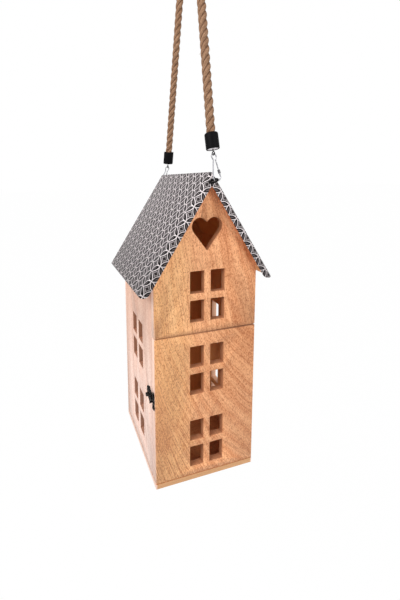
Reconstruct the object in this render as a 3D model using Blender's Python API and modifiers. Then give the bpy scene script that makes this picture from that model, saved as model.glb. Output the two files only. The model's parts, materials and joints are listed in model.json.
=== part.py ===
# House lantern: a wooden candle house under a folded sheet roof, carried by a rope on two snap hooks.
# Metres, +Z up. The origin is the underside of the rope at its highest point, where the lantern hangs.
# Everything is first placed from the middle of the base board's underside, and an empty carries it down.

from math import atan2, cos, pi, radians, sin, sqrt, tan

import bmesh
import bpy
from mathutils import Matrix, Vector

MM = 0.001
GAP = 0.3 * MM                # between pieces that touch

# Wooden body
WIDTH = 150 * MM
DEPTH = 150 * MM
BOARD = 9 * MM                # thickness of every wall panel
BASE_THICK = 8 * MM
SPLIT_HEIGHT = 217 * MM       # between the door and the fixed gable above it
SPLIT_GAP = 1 * MM
RIDGE_HEIGHT = 431.8 * MM     # where the two slopes' outer faces would meet, above the base's underside
PITCH = radians(57.4)

# Windows of two by two panes: a pane's width and height, and the bar between panes
FRONT_PANES = (20.5 * MM, 30 * MM, 9.5 * MM)
SIDE_PANES = (20.5 * MM, 30 * MM, 9.5 * MM)
GABLE_WINDOW_HEIGHT = 267.6 * MM
DOOR_WINDOW_HEIGHTS = (163.8 * MM, 55.8 * MM)
SIDE_WINDOW_HEIGHTS = (179.6 * MM, 69 * MM)
FRONT_WINDOW_ASIDE = 1 * MM   # to the right of the front's middle
SIDE_WINDOW_ASIDE = 2 * MM    # behind the wall's middle
HEART_WIDTH = 43.5 * MM
HEART_DEPTH = 44 * MM         # from the lobes down to the tip
HEART_TIP = 328.5 * MM

# Roof sheet
SHEET = 1 * MM
EAVE_OUT = (21.8 * MM, 17 * MM)   # past the left and the right wall: the bend isn't quite central
GABLE_OUT = 11 * MM           # past the gables
FLANGE = 10 * MM              # turned down along the gables, square to the slope
FOLD_RADIUS = 3.5 * MM
RIDGE_RADIUS = 2.2 * MM
FLANGE_CORNER = 9.5 * MM      # the flange's lower corners are rounded off

# Ridge beam, under the sheet between the gables
BEAM_WIDTH = 18 * MM
BEAM_DROP = 28 * MM           # from the ridge of the wood down to the beam's underside

# Butt hinges, let into the seam between the door's back and the right wall's end
HINGE_HEIGHTS = (45 * MM, 175 * MM)
LEAF_HEIGHT = 26 * MM
LEAF_THICK = 0.8 * MM
LEAF_WIDTH = 8.4 * MM         # from the pin
KNUCKLE_RADIUS = 1.4 * MM
KNUCKLE_OUT = 0.9 * MM        # from the side of the wood to the pin's middle
HINGE_PIN_RADIUS = 0.55 * MM
HINGE_SCREW_SPACING = 14 * MM
HINGE_SCREW_HEAD_RADIUS = 1.4 * MM
HINGE_SCREW_SHANK_RADIUS = 0.7 * MM
HINGE_SCREW_LENGTH = 7 * MM

# Screws
SCREW_HEAD_RADIUS = 1.6 * MM
SCREW_HEAD_HEIGHT = 0.8 * MM
SCREW_SHANK_RADIUS = 0.7 * MM
SCREW_SHANK = 6.5 * MM
BASE_SCREW_HEAD_RADIUS = 3 * MM
BASE_SCREW_SHANK_RADIUS = 1.4 * MM
BASE_SCREW_LENGTH = 22 * MM
BASE_SCREW_SINK = 0.5 * MM    # heads above the base's underside

# Latch on the left wall, next to the door's free edge
LATCH_HEIGHT = 128.5 * MM
ROSETTE_RADIUS = 9.8 * MM
ROSETTE_LOBE = 1.2 * MM
LATCH_PLATE = 1 * MM
CATCH_WIDTH = 7.6 * MM
CATCH_HEIGHT = 25 * MM
LATCH_ARM_RADIUS = 1.15 * MM
LATCH_LIFT = radians(13)      # at rest the hook lies just clear above its stud
LATCH_SET_BACK = BOARD + 2 * GAP + ROSETTE_RADIUS + ROSETTE_LOBE   # pivot, behind the door's face
STUD_SET_BACK = BOARD - 2 * GAP - CATCH_WIDTH / 2                  # stud, behind the door's face
STUD_RADIUS = 1.1 * MM
STUD_HEAD_RADIUS = 1.7 * MM

# Screw eyes in the gables
EYE_WIRE = 2.6 * MM
EYE_RADIUS = 5 * MM           # centre line of the ring
EYE_TILT = radians(27)        # the ring's right side is the high one
EYE_DROOP = radians(8)        # the ring's outer end is the low one
EYE_BITE = 21 * MM            # of shank, behind the gable's face
EYE_ASIDE = -1.7 * MM         # from the middle of the gable
EYE_HEIGHTS = (418.8 * MM, 412.2 * MM)

# Snap hooks
HOOK_WIRE = 1.5 * MM
HOOK_LENGTH = 31.2 * MM       # from the screw eye's wire to the top of the hook's loop
HOOK_BEND = 5 * MM
HOOK_LOOP = 3.1 * MM
HOOK_WAIST = 3.2 * MM         # between the legs, centre to centre
HOOK_WAIST_DROP = 8.2 * MM    # below the top of the loop
NOSE_HEIGHT = 7.5 * MM
GATE_END_HEIGHT = 9.6 * MM
SLEEVE_LENGTH = 4.6 * MM
SLEEVE_OVERLAP = 1.4 * MM
SLEEVE_WALL = 0.5 * MM
HOOK_LEANS = ((-4.3, 10), (17.5, 6.3))   # degrees to the right, and towards the middle

# Rope ends
SWIVEL_WIRE = 1.2 * MM
SWIVEL_RADIUS = 2.1 * MM      # centre line of the small ring under the cap
SWIVEL_NECK = 2.3 * MM
CAP_LEANS = (-3, 0)           # degrees to the right of the rope's line
CAP_RADIUS = 8.2 * MM
CAP_HEIGHT = 20.5 * MM
CAP_WALL = 1.2 * MM
CAP_ROUNDING = 2.4 * MM
DISC_THICK = 1.4 * MM
ROPE_RADIUS = 5.4 * MM
ROPE_BEND = 30 * MM           # centre line, over whatever the lantern hangs on
ROPE_TOP = 800 * MM           # centre line at its highest, above the table
ROPE_ASIDE = (3 * MM, 17 * MM)   # the front and back legs, to the right of the middle

RIDGE_FALL = tan(PITCH)
SHEET_TOP_TO_WOOD = (SHEET + GAP) / cos(PITCH)
WOOD_RIDGE = RIDGE_HEIGHT - SHEET_TOP_TO_WOOD
RIDGE_FLAT = 1.2 * MM         # half of the flat planed on the wood under the rounded ridge
HALF = WIDTH / 2
FRONT = -DEPTH / 2
HANG_POINT = Vector((sum(ROPE_ASIDE) / 2, 0, ROPE_TOP - ROPE_RADIUS))

WOOD = ("mango_wood", (0.72, 0.42, 0.22), 0.5, 0.0)
TIN = ("printed_tin", (0.33, 0.32, 0.33), 0.4, 0.6)
BRONZE = ("dark_bronze", (0.09, 0.07, 0.055), 0.4, 0.9)
BLACK = ("black_enamel", (0.02, 0.02, 0.022), 0.35, 0.3)
STEEL = ("bright_wire", (0.72, 0.72, 0.74), 0.25, 1.0)
JUTE = ("jute", (0.58, 0.40, 0.24), 0.9, 0.0)


def start():
    """An empty scene with one collection for the parts, one for the cutters, and the empty that carries all."""
    for old in list(bpy.data.objects):
        bpy.data.objects.remove(old)
    scene = bpy.context.scene.collection
    for name in ("house_lantern", "cutters"):
        scene.children.link(bpy.data.collections.new(name))
    carrier = bpy.data.objects.new("base_underside", None)
    carrier.location = -HANG_POINT
    bpy.data.collections["house_lantern"].objects.link(carrier)
    return carrier


CARRIER = start()


def material(finish):
    name, colour, roughness, metallic = finish
    found = bpy.data.materials.get(name)
    if found:
        return found
    made = bpy.data.materials.new(name)
    made.use_nodes = True
    shader = made.node_tree.nodes["Principled BSDF"]
    shader.inputs["Base Color"].default_value = (*colour, 1)
    shader.inputs["Roughness"].default_value = roughness
    shader.inputs["Metallic"].default_value = metallic
    return made


def part(name, data, finish, matrix=None):
    """A named sub-part, placed from the middle of the base's underside."""
    made = bpy.data.objects.new(name, data)
    made.parent = CARRIER
    made.matrix_local = matrix or Matrix()
    bpy.data.collections["house_lantern"].objects.link(made)
    data.materials.append(material(finish))
    return made


def helper(name, data, matrix=None):
    """A shape that cuts or joins another, and isn't a part itself."""
    made = bpy.data.objects.new(name, data)
    made.parent = CARRIER
    made.matrix_local = matrix or Matrix()
    made.hide_render = True
    made.display_type = "WIRE"
    bpy.data.collections["cutters"].objects.link(made)
    return made


def combine(target, other, operation):
    step = target.modifiers.new(f"{operation.lower()}_{other.name}", "BOOLEAN")
    step.object = other
    step.operation = operation
    step.solver = "EXACT"


def cut(target, other):
    combine(target, other, "DIFFERENCE")


def join(target, other):
    combine(target, other, "UNION")


def mesh_from(name, build):
    work = bmesh.new()
    build(work)
    made = bpy.data.meshes.new(name)
    work.to_mesh(made)
    work.free()
    return made


def box(name, low, high):
    low, high = Vector(low), Vector(high)

    def build(work):
        place = Matrix.Translation((low + high) / 2) @ Matrix.Diagonal((*(high - low), 1))
        bmesh.ops.create_cube(work, size=1, matrix=place)

    return mesh_from(name, build)


def rod(name, radius, low, high, sides=12, axis="Z"):
    """A cylinder along an axis through the origin, from low to high on it."""
    turn = {
        "X": Matrix.Rotation(pi / 2, 4, "Y"),
        "Y": Matrix.Rotation(-pi / 2, 4, "X"),
        "Z": Matrix(),
    }[axis]

    def build(work):
        place = turn @ Matrix.Translation((0, 0, (low + high) / 2))
        bmesh.ops.create_cone(
            work, cap_ends=True, segments=sides, radius1=radius, radius2=radius,
            depth=high - low, matrix=place,
        )

    made = mesh_from(name, build)
    smooth(made)
    return made


def smooth(mesh, angle=35):
    mesh.shade_smooth()
    mesh.set_sharp_from_angle(angle=radians(angle))


def ring(name, radius, wire_radius, matrix, around=20, sides=8):
    """A closed ring of wire, lying in the XY plane of its matrix."""
    bpy.ops.mesh.primitive_torus_add(
        major_segments=around, minor_segments=sides, major_radius=radius, minor_radius=wire_radius
    )
    made = bpy.context.object
    mesh = made.data
    mesh.name = name
    bpy.data.objects.remove(made)
    mesh.transform(matrix)
    smooth(mesh, 60)
    return mesh


def turned(name, profile, steps, finish, matrix):
    """A turned part: (radius, height) points down its outer side and up its inner one."""
    mesh = bpy.data.meshes.new(name)
    count = len(profile)
    mesh.from_pydata([(r, 0, z) for r, z in profile], [(i, (i + 1) % count) for i in range(count)], [])
    made = part(name, mesh, finish, matrix)
    spin = made.modifiers.new("turned", "SCREW")
    spin.steps = spin.render_steps = steps
    spin.use_merge_vertices = True
    spin.merge_threshold = 0.00001
    return made


def outline_curve(name, outlines, thickness):
    """A flat board: one outline and any holes in it, as lists of (across, up) points."""
    curve = bpy.data.curves.new(name, "CURVE")
    curve.dimensions = "2D"
    curve.fill_mode = "BOTH"
    curve.extrude = thickness / 2
    for points in outlines:
        spline = curve.splines.new("POLY")
        spline.points.add(len(points) - 1)
        for at, (x, y) in zip(spline.points, points):
            at.co = (x, y, 0, 1)
        spline.use_cyclic_u = True
    return curve


def wire_curve(name, points, radius, resolution=2):
    curve = bpy.data.curves.new(name, "CURVE")
    curve.dimensions = "3D"
    curve.bevel_depth = radius
    curve.bevel_resolution = resolution
    curve.use_fill_caps = True
    spline = curve.splines.new("POLY")
    spline.points.add(len(points) - 1)
    for at, point in zip(spline.points, points):
        at.co = (*point, 1)
    return curve


def meshed(curve):
    """A curve's own mesh, closed where its caps meet its sides."""
    carrier = bpy.data.objects.new("to_mesh", curve)
    bpy.context.scene.collection.objects.link(carrier)
    graph = bpy.context.evaluated_depsgraph_get()
    mesh = bpy.data.meshes.new_from_object(carrier.evaluated_get(graph))
    bpy.data.objects.remove(carrier)
    work = bmesh.new()
    work.from_mesh(mesh)
    bmesh.ops.remove_doubles(work, verts=work.verts, dist=0.000001)
    bmesh.ops.recalc_face_normals(work, faces=work.faces)
    work.to_mesh(mesh)
    work.free()
    smooth(mesh)
    return mesh


def stood_up(middle, facing_y):
    """Places a board's (across, up) plane upright at a point: across the width, or along the depth."""
    upright = Matrix.Rotation(pi / 2, 4, "X")
    if not facing_y:
        upright = Matrix.Rotation(pi / 2, 4, "Z") @ upright
    return Matrix.Translation(middle) @ upright


def rectangle(left, bottom, right, top):
    return [(left, bottom), (right, bottom), (right, top), (left, top)]


def window(height, pane, middle):
    """The four panes of one window, round its middle."""
    wide, high, bar = pane
    panes = []
    for side in (-1, 1):
        for level in (-1, 1):
            x = middle + side * (bar + wide) / 2
            z = height + level * (bar + high) / 2
            panes.append(rectangle(x - wide / 2, z - high / 2, x + wide / 2, z + high / 2))
    return panes


def heart(points_a_side=14):
    """The heart cut-out: round lobes, a notch between them and straight sides down to the tip."""
    lobe = HEART_WIDTH / 4 * 1.06
    lobe_x = HEART_WIDTH / 2 - lobe
    lobe_z = HEART_DEPTH - lobe
    reach = sqrt(lobe_x**2 + lobe_z**2)
    leave = atan2(-lobe_z, -lobe_x) + atan2(sqrt(reach**2 - lobe**2), lobe)
    notch = pi - atan2(sqrt(lobe**2 - lobe_x**2), lobe_x)
    right = []
    for i in range(points_a_side):
        turn = leave + (notch - leave) * i / (points_a_side - 1)
        right.append((lobe_x + lobe * cos(turn), lobe_z + lobe * sin(turn)))
    left = [(-x, z) for x, z in reversed(right[:-1])]
    return [(x, z + HEART_TIP) for x, z in [(0, 0), *right, *left]]


def wood_top(x):
    """Height of the wood under the sheet at a distance from the middle."""
    return WOOD_RIDGE - abs(x) * RIDGE_FALL


def gable_outline(bottom):
    return [
        (-HALF, bottom), (HALF, bottom), (HALF, wood_top(HALF)), (RIDGE_FLAT, wood_top(RIDGE_FLAT)),
        (-RIDGE_FLAT, wood_top(RIDGE_FLAT)), (-HALF, wood_top(HALF)),
    ]


def board(name, outlines, middle, facing_y, thickness=BOARD):
    mesh = meshed(outline_curve(name, outlines, thickness))
    mesh.transform(stood_up(middle, facing_y))
    return part(name, mesh, WOOD)


def make_body():
    """Base, two side walls, back, fixed gable and ridge beam."""
    base = part("base_board", box("base_board", (-HALF, FRONT, 0), (HALF, -FRONT, BASE_THICK)), WOOD)
    wall_bottom = BASE_THICK + GAP
    half_wall = DEPTH / 2 - BOARD - GAP
    walls = {}
    for name, side in (("left_wall", -1), ("right_wall", 1)):
        outline = rectangle(-half_wall, wall_bottom, half_wall, WOOD_RIDGE)
        panes = [pane for height in SIDE_WINDOW_HEIGHTS for pane in window(height, SIDE_PANES, SIDE_WINDOW_ASIDE)]
        walls[name] = board(name, [outline, *panes], (side * (HALF - BOARD / 2), 0, 0), False)
        cut(walls[name], above_roof_line())
    back = board("back_panel", [gable_outline(wall_bottom)], (0, -FRONT - BOARD / 2, 0), True)
    gable = board(
        "gable_panel",
        [
            gable_outline(SPLIT_HEIGHT + SPLIT_GAP / 2), heart(),
            *window(GABLE_WINDOW_HEIGHT, FRONT_PANES, FRONT_WINDOW_ASIDE),
        ],
        (0, FRONT + BOARD / 2, 0),
        True,
    )
    half_beam = BEAM_WIDTH / 2
    beam_bottom = WOOD_RIDGE - BEAM_DROP
    section = [
        (-half_beam, beam_bottom), (half_beam, beam_bottom), (half_beam, wood_top(half_beam)),
        (RIDGE_FLAT, wood_top(RIDGE_FLAT)), (-RIDGE_FLAT, wood_top(RIDGE_FLAT)),
        (-half_beam, wood_top(half_beam)),
    ]
    beam = board("ridge_beam", [section], (0, 0, 0), True, thickness=2 * half_wall)
    return base, walls, back, gable, beam


def above_roof_line():
    """Everything above the underside of the sheet, as a cutter."""
    found = bpy.data.objects.get("roof_space")
    if found:
        return found
    over = 3 * HALF
    outline = [
        (-over, wood_top(over)), (0, WOOD_RIDGE), (over, wood_top(over)), (over, 2 * RIDGE_HEIGHT),
        (-over, 2 * RIDGE_HEIGHT),
    ]
    mesh = meshed(outline_curve("roof_space", [outline], 2 * DEPTH))
    mesh.transform(stood_up((0, 0, 0), True))
    return helper("roof_space", mesh)


def make_roof():
    """One sheet: two slopes bent over the ridge, and a flange folded down along each gable."""
    across = Vector((cos(PITCH), 0, -sin(PITCH)))
    inward = Vector((-sin(PITCH), 0, -cos(PITCH)))
    end = -FRONT + GABLE_OUT
    slopes = [(HALF + out) / cos(PITCH) for out in EAVE_OUT]
    straight = FLANGE - FLANGE_CORNER
    steps, bends = 7, 4
    rows = [(straight + FLANGE_CORNER * sin(pi / 2 * i / steps), end) for i in range(steps, 0, -1)]
    rows = [row for row in rows if row[0] > FOLD_RADIUS * 1.1]
    for i in range(bends + 1):
        turn = pi / 2 * i / bends
        rows.append((FOLD_RADIUS * (1 - sin(turn)), end - FOLD_RADIUS * (1 - cos(turn))))
    rows = [(offset, -y) for offset, y in rows] + [(offset, y) for offset, y in reversed(rows)]
    work = bmesh.new()
    grid = []
    for offset, y in rows:
        past = max(0.0, offset - straight)
        back = FLANGE_CORNER - sqrt(max(0.0, FLANGE_CORNER**2 - past**2))
        ridge = inward * offset + Vector((0, 0, RIDGE_HEIGHT))
        left, right = (ridge + across * (slope - back) for slope in slopes)
        radius = max(RIDGE_RADIUS - offset, 0.5 * MM)
        middle = RIDGE_HEIGHT - (offset + radius) / cos(PITCH)
        arc = []
        for i in range(5):
            turn = PITCH * (i / 2 - 1)
            arc.append((radius * sin(turn), middle + radius * cos(turn)))
        section = [(-left.x, left.z), *arc, (right.x, right.z)]
        grid.append([work.verts.new((x, y, z)) for x, z in section])
    for near, far in zip(grid, grid[1:]):
        for a, b, c, d in zip(near, near[1:], far[1:], far):
            work.faces.new((a, b, c, d))
    mesh = bpy.data.meshes.new("roof_sheet")
    work.to_mesh(mesh)
    work.free()
    smooth(mesh, 40)
    sheet = part("roof_sheet", mesh, TIN)
    wall = sheet.modifiers.new("sheet", "SOLIDIFY")
    wall.thickness = SHEET
    wall.offset = -1
    wall.use_even_offset = True
    return sheet


def screw(name, place, finish=BRONZE):
    """A small round-head screw: its matrix points +Z out of the face that its head sits on."""
    head, high, shank = SCREW_HEAD_RADIUS, SCREW_HEAD_HEIGHT, SCREW_SHANK_RADIUS
    profile = [
        (0, high), (head * 0.6, high * 0.8), (head, 0), (shank, 0), (shank, -SCREW_SHANK + shank),
        (0, -SCREW_SHANK),
    ]
    mesh = bpy.data.meshes.new(name)
    mesh.from_pydata([(r, 0, z) for r, z in profile], [(i, i + 1) for i in range(len(profile) - 1)], [])
    made = part(name, mesh, finish, place)
    spin = made.modifiers.new("turned", "SCREW")
    spin.steps = spin.render_steps = 10
    spin.use_merge_vertices = True
    spin.merge_threshold = 0.00001
    return made


def drill(name, place, radius, depth, above=0.002):
    return helper(name, rod(name, radius, -depth, above, sides=8), place)


def facing(point, direction):
    """A matrix at a point whose Z axis points along a direction."""
    turn = Vector(direction).to_track_quat("Z", "Y").to_matrix().to_4x4()
    return Matrix.Translation(point) @ turn


def fix_with_screws(name, spots, direction, plate, wood, plate_thick):
    """Screws through a plate into the wood behind it. Spots lie on the wood's face."""
    out = Vector(direction)
    for number, spot in enumerate(spots, 1):
        label = f"{name}_{number}"
        seat = facing(Vector(spot) + out * (2 * GAP + plate_thick), direction)
        screw(label, seat)
        hole = drill(f"{label}_hole", seat, SCREW_SHANK_RADIUS + GAP, SCREW_SHANK + GAP)
        cut(plate, hole)
        cut(wood, hole)


def countersunk(name, seat, head, shank, length, sunk_in, through):
    """A flat-headed screw, flush with the face of the piece that it is sunk in."""
    profile = [(0, 0), (head, 0), (shank, shank - head), (shank, shank - length), (0, -length)]
    mesh = bpy.data.meshes.new(name)
    mesh.from_pydata([(r, 0, z) for r, z in profile], [(i, i + 1) for i in range(4)], [])
    spin = part(name, mesh, STEEL, seat).modifiers.new("turned", "SCREW")
    spin.steps = spin.render_steps = 12
    spin.use_merge_vertices = True
    spin.merge_threshold = 0.00001
    hole = drill(f"{name}_hole", seat, shank + GAP, length + GAP)
    low = shank - head - sqrt(2) * GAP
    high = 1 * MM

    def cone(work):
        bmesh.ops.create_cone(
            work, cap_ends=True, segments=12, radius1=shank, radius2=shank + high - low,
            depth=high - low, matrix=Matrix.Translation((0, 0, (high + low) / 2)),
        )

    cut(sunk_in, hole)
    cut(sunk_in, helper(f"{name}_sink", mesh_from(f"{name}_sink", cone), seat))
    cut(through, hole)


def make_hinge(label, height, wall, door):
    """A butt hinge: two leaves, three knuckles and a pin."""
    axis_x = HALF + KNUCKLE_OUT
    axis_y = FRONT + BOARD + GAP / 2
    low, high = height - LEAF_HEIGHT / 2, height + LEAF_HEIGHT / 2
    third = LEAF_HEIGHT / 3
    clear = KNUCKLE_RADIUS + GAP
    axis = Matrix.Translation((axis_x, axis_y, 0))
    pin = rod(f"{label}_pin", HINGE_PIN_RADIUS, low - GAP, high + GAP, 10)
    part(f"{label}_pin", pin, BRONZE, axis)
    notch = rod(f"{label}_notch", clear, low - 2 * GAP, high + 2 * GAP, 14)
    notch = helper(f"{label}_notch", notch, axis)
    for kind, sign, spans, wood in (
        ("wall_leaf", 1, ((low, low + third - GAP), (high - third + GAP, high)), wall),
        ("door_leaf", -1, ((low + third, high - third),), door),
    ):
        name = f"{label}_{kind}"
        near, far = sorted((axis_y + sign * GAP / 2, axis_y + sign * (GAP / 2 + LEAF_THICK)))
        leaf = part(name, box(name, (axis_x - LEAF_WIDTH, near, low), (axis_x - clear, far, high)), BRONZE)
        for number, (bottom, top) in enumerate(spans):
            tab = box(f"{name}_tab_{number}", (axis_x - clear - GAP, near, bottom), (axis_x, far, top))
            join(leaf, helper(f"{name}_tab_{number}", tab))
            knuckle = rod(f"{name}_knuckle_{number}", KNUCKLE_RADIUS, bottom, top, 14)
            join(leaf, helper(f"{name}_knuckle_{number}", knuckle, axis))
        bore = rod(f"{name}_bore", HINGE_PIN_RADIUS + GAP, low - 0.002, high + 0.002, 10)
        cut(leaf, helper(f"{name}_bore", bore, axis))
        pocket_y = sorted((axis_y - sign * GAP, axis_y + sign * (1.5 * GAP + LEAF_THICK)))
        pocket = box(
            f"{name}_pocket",
            (axis_x - LEAF_WIDTH - GAP, pocket_y[0], low - 2 * GAP),
            (axis_x + 0.002, pocket_y[1], high + 2 * GAP),
        )
        cut(wood, helper(f"{name}_pocket", pocket))
        cut(wood, notch)
        for number, step in enumerate((-1, 1), 1):
            spot = (axis_x - (clear + LEAF_WIDTH) / 2, axis_y + sign * GAP / 2, height + step * HINGE_SCREW_SPACING / 2)
            countersunk(
                f"{name}_screw_{number}", facing(spot, (0, -sign, 0)), HINGE_SCREW_HEAD_RADIUS,
                HINGE_SCREW_SHANK_RADIUS, HINGE_SCREW_LENGTH, leaf, wood,
            )


def make_door():
    """The lower front, hinged on the right, with two windows."""
    outline = rectangle(-HALF, BASE_THICK + GAP, HALF, SPLIT_HEIGHT - SPLIT_GAP / 2)
    panes = [pane for height in DOOR_WINDOW_HEIGHTS for pane in window(height, FRONT_PANES, FRONT_WINDOW_ASIDE)]
    return board("door", [outline, *panes], (0, FRONT + BOARD / 2, 0), True)


def side_plate(name, outline, middle_y, middle_z, thickness):
    """A flat plate on the outside of the left wall."""
    mesh = meshed(outline_curve(name, [outline], thickness))
    mesh.transform(stood_up((-HALF - GAP - thickness / 2, middle_y, middle_z), False))
    return part(name, mesh, BRONZE)


def make_latch(wall, door):
    """A rosette with a swinging hook on the wall, and a small plate with a stud on the door's edge."""
    pivot_y = FRONT + LATCH_SET_BACK
    stud_y = FRONT + STUD_SET_BACK
    lobes, steps = 8, 48
    rosette = []
    for i in range(steps):
        turn = 2 * pi * i / steps
        radius = ROSETTE_RADIUS + ROSETTE_LOBE * cos(lobes * turn)
        rosette.append((radius * cos(turn), radius * sin(turn)))
    plate = side_plate("latch_plate", rosette, pivot_y, LATCH_HEIGHT, LATCH_PLATE)
    rows = 14
    edge = []
    for i in range(rows + 1):
        along = 2 * i / rows - 1
        wide = CATCH_WIDTH / 2 * (0.86 + 0.14 * cos(3 * pi * along)) * (1 - 0.35 * along**8)
        edge.append((wide, along * CATCH_HEIGHT / 2))
    catch = side_plate(
        "catch_plate", edge + [(-x, z) for x, z in reversed(edge)], stud_y, LATCH_HEIGHT, LATCH_PLATE
    )
    face = -HALF - GAP - LATCH_PLATE
    arm_x = face - 2 * GAP - SCREW_HEAD_HEIGHT - LATCH_ARM_RADIUS
    boss = 2.6 * MM
    rivet_head = 0.7 * MM
    boss_out = arm_x - LATCH_ARM_RADIUS - 0.2 * MM
    pivot = Matrix.Translation((arm_x, pivot_y, LATCH_HEIGHT)) @ Matrix.Rotation(-LATCH_LIFT, 4, "X")
    reach = LATCH_SET_BACK - STUD_SET_BACK
    curl = STUD_RADIUS + GAP + LATCH_ARM_RADIUS
    path = [(0, 0, 0), (0, -0.35 * reach, 0.6 * curl), (0, -0.75 * reach, curl * 0.98)]
    for i in range(6):
        turn = radians(90 + 20 * i)
        path.append((0, -reach + curl * cos(turn), curl * sin(turn)))
    arm = part("latch_hook", meshed(wire_curve("latch_hook", path, LATCH_ARM_RADIUS)), BRONZE, pivot)
    hub = rod("latch_hub", boss, boss_out - arm_x, face - GAP - arm_x, 14, "X")
    join(arm, helper("latch_hub", hub, pivot))
    thumb = mesh_from(
        "latch_thumb",
        lambda work: bmesh.ops.create_uvsphere(
            work, u_segments=12, v_segments=8, radius=1.6 * MM,
            matrix=Matrix.Translation((-0.45 * MM, -reach, curl + 1.6 * MM)),
        ),
    )
    join(arm, helper("latch_thumb", thumb, pivot))
    bore = rod("latch_hub_bore", STUD_RADIUS + GAP, boss_out - arm_x - 0.002, face - arm_x + 0.002, 12, "X")
    cut(arm, helper("latch_hub_bore", bore, pivot))
    for name, y, plate_here, wood in (
        ("latch_rivet", pivot_y, plate, wall),
        ("catch_stud", stud_y, catch, door),
    ):
        seat = facing((-HALF, y, LATCH_HEIGHT), (-1, 0, 0))
        top = -HALF - boss_out + GAP
        head = STUD_HEAD_RADIUS if name == "catch_stud" else boss
        profile = [
            (0, top + rivet_head), (head * 0.7, top + rivet_head * 0.8), (head, top),
            (STUD_RADIUS, top), (STUD_RADIUS, -4 * MM), (0, -5 * MM),
        ]
        mesh = bpy.data.meshes.new(name)
        mesh.from_pydata([(r, 0, z) for r, z in profile], [(i, i + 1) for i in range(5)], [])
        spin = part(name, mesh, BRONZE, seat).modifiers.new("turned", "SCREW")
        spin.steps = spin.render_steps = 12
        spin.use_merge_vertices = True
        spin.merge_threshold = 0.00001
        hole = drill(f"{name}_hole", seat, STUD_RADIUS + GAP, 5.4 * MM)
        cut(plate_here, hole)
        cut(wood, hole)
    back_y = pivot_y + 0.6 * ROSETTE_RADIUS
    spots = [(-HALF, back_y, LATCH_HEIGHT + side * 0.6 * ROSETTE_RADIUS) for side in (-1, 1)]
    fix_with_screws("latch_plate_screw", spots, (-1, 0, 0), plate, wall, LATCH_PLATE)
    spots = [(-HALF, stud_y, LATCH_HEIGHT + side * 0.36 * CATCH_HEIGHT) for side in (-1, 1)]
    fix_with_screws("catch_plate_screw", spots, (-1, 0, 0), catch, door, LATCH_PLATE)


def make_base_screws(base, walls):
    """Countersunk screws up through the base into the walls."""
    number = 0
    for name, side in (("left_wall", -1), ("right_wall", 1)):
        for y in (FRONT * 0.6, -FRONT * 0.6):
            number += 1
            seat = facing((side * (HALF - BOARD / 2), y, BASE_SCREW_SINK), (0, 0, -1))
            countersunk(
                f"base_screw_{number}", seat, BASE_SCREW_HEAD_RADIUS, BASE_SCREW_SHANK_RADIUS,
                BASE_SCREW_LENGTH, base, walls[name],
            )


def make_screw_eye(label, end, height, pieces):
    """A ring on a shank, through the flange and the gable into the ridge beam. End is -1 in front."""
    wire = EYE_WIRE / 2
    out = -FRONT + GABLE_OUT + 2 * GAP + wire + EYE_RADIUS
    place = Matrix.Translation((EYE_ASIDE, end * out, height))
    place = place @ Matrix.Rotation(-end * EYE_DROOP, 4, "X") @ Matrix.Rotation(-EYE_TILT, 4, "Y")
    name = f"{label}_screw_eye"
    eye = part(name, ring(name, EYE_RADIUS, wire, Matrix()), BLACK, place)
    low, high = sorted((-end * (out + FRONT + EYE_BITE), -end * EYE_RADIUS))
    join(eye, helper(f"{name}_stem", rod(f"{name}_stem", wire, low, high, 12, "Y"), place))
    hole = rod(f"{name}_hole", wire + GAP, low - GAP, high + GAP, 12, "Y")
    hole = helper(f"{name}_hole", hole, place)
    for piece in pieces:
        cut(piece, hole)
    return place @ Vector((EYE_RADIUS, 0, 0))


def leg_of(point):
    """Where a straight rope leg from a point meets the bend over the hanging point, and its direction."""
    side = -1 if point.y < 0 else 1
    middle = Vector((ROPE_ASIDE[side > 0], 0, ROPE_TOP - ROPE_BEND))
    away = point - middle
    far = sqrt(away.y**2 + away.z**2)
    turn = atan2(away.z, side * away.y) + math_acos(ROPE_BEND / far)
    touch = middle + Vector((0, side * ROPE_BEND * cos(turn), ROPE_BEND * sin(turn)))
    return touch, (touch - point).normalized()


def math_acos(value):
    return atan2(sqrt(1 - value**2), value)


def hook_frame(bottom, top):
    """Z runs up the hook, and X lies in its plane."""
    up = (top - bottom).normalized()
    across = Vector((1, 0, 0))
    across = (across - up * across.dot(up)).normalized()
    turn = Matrix((across, up.cross(across), up)).transposed().to_4x4()
    return Matrix.Translation(bottom) @ turn


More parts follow.
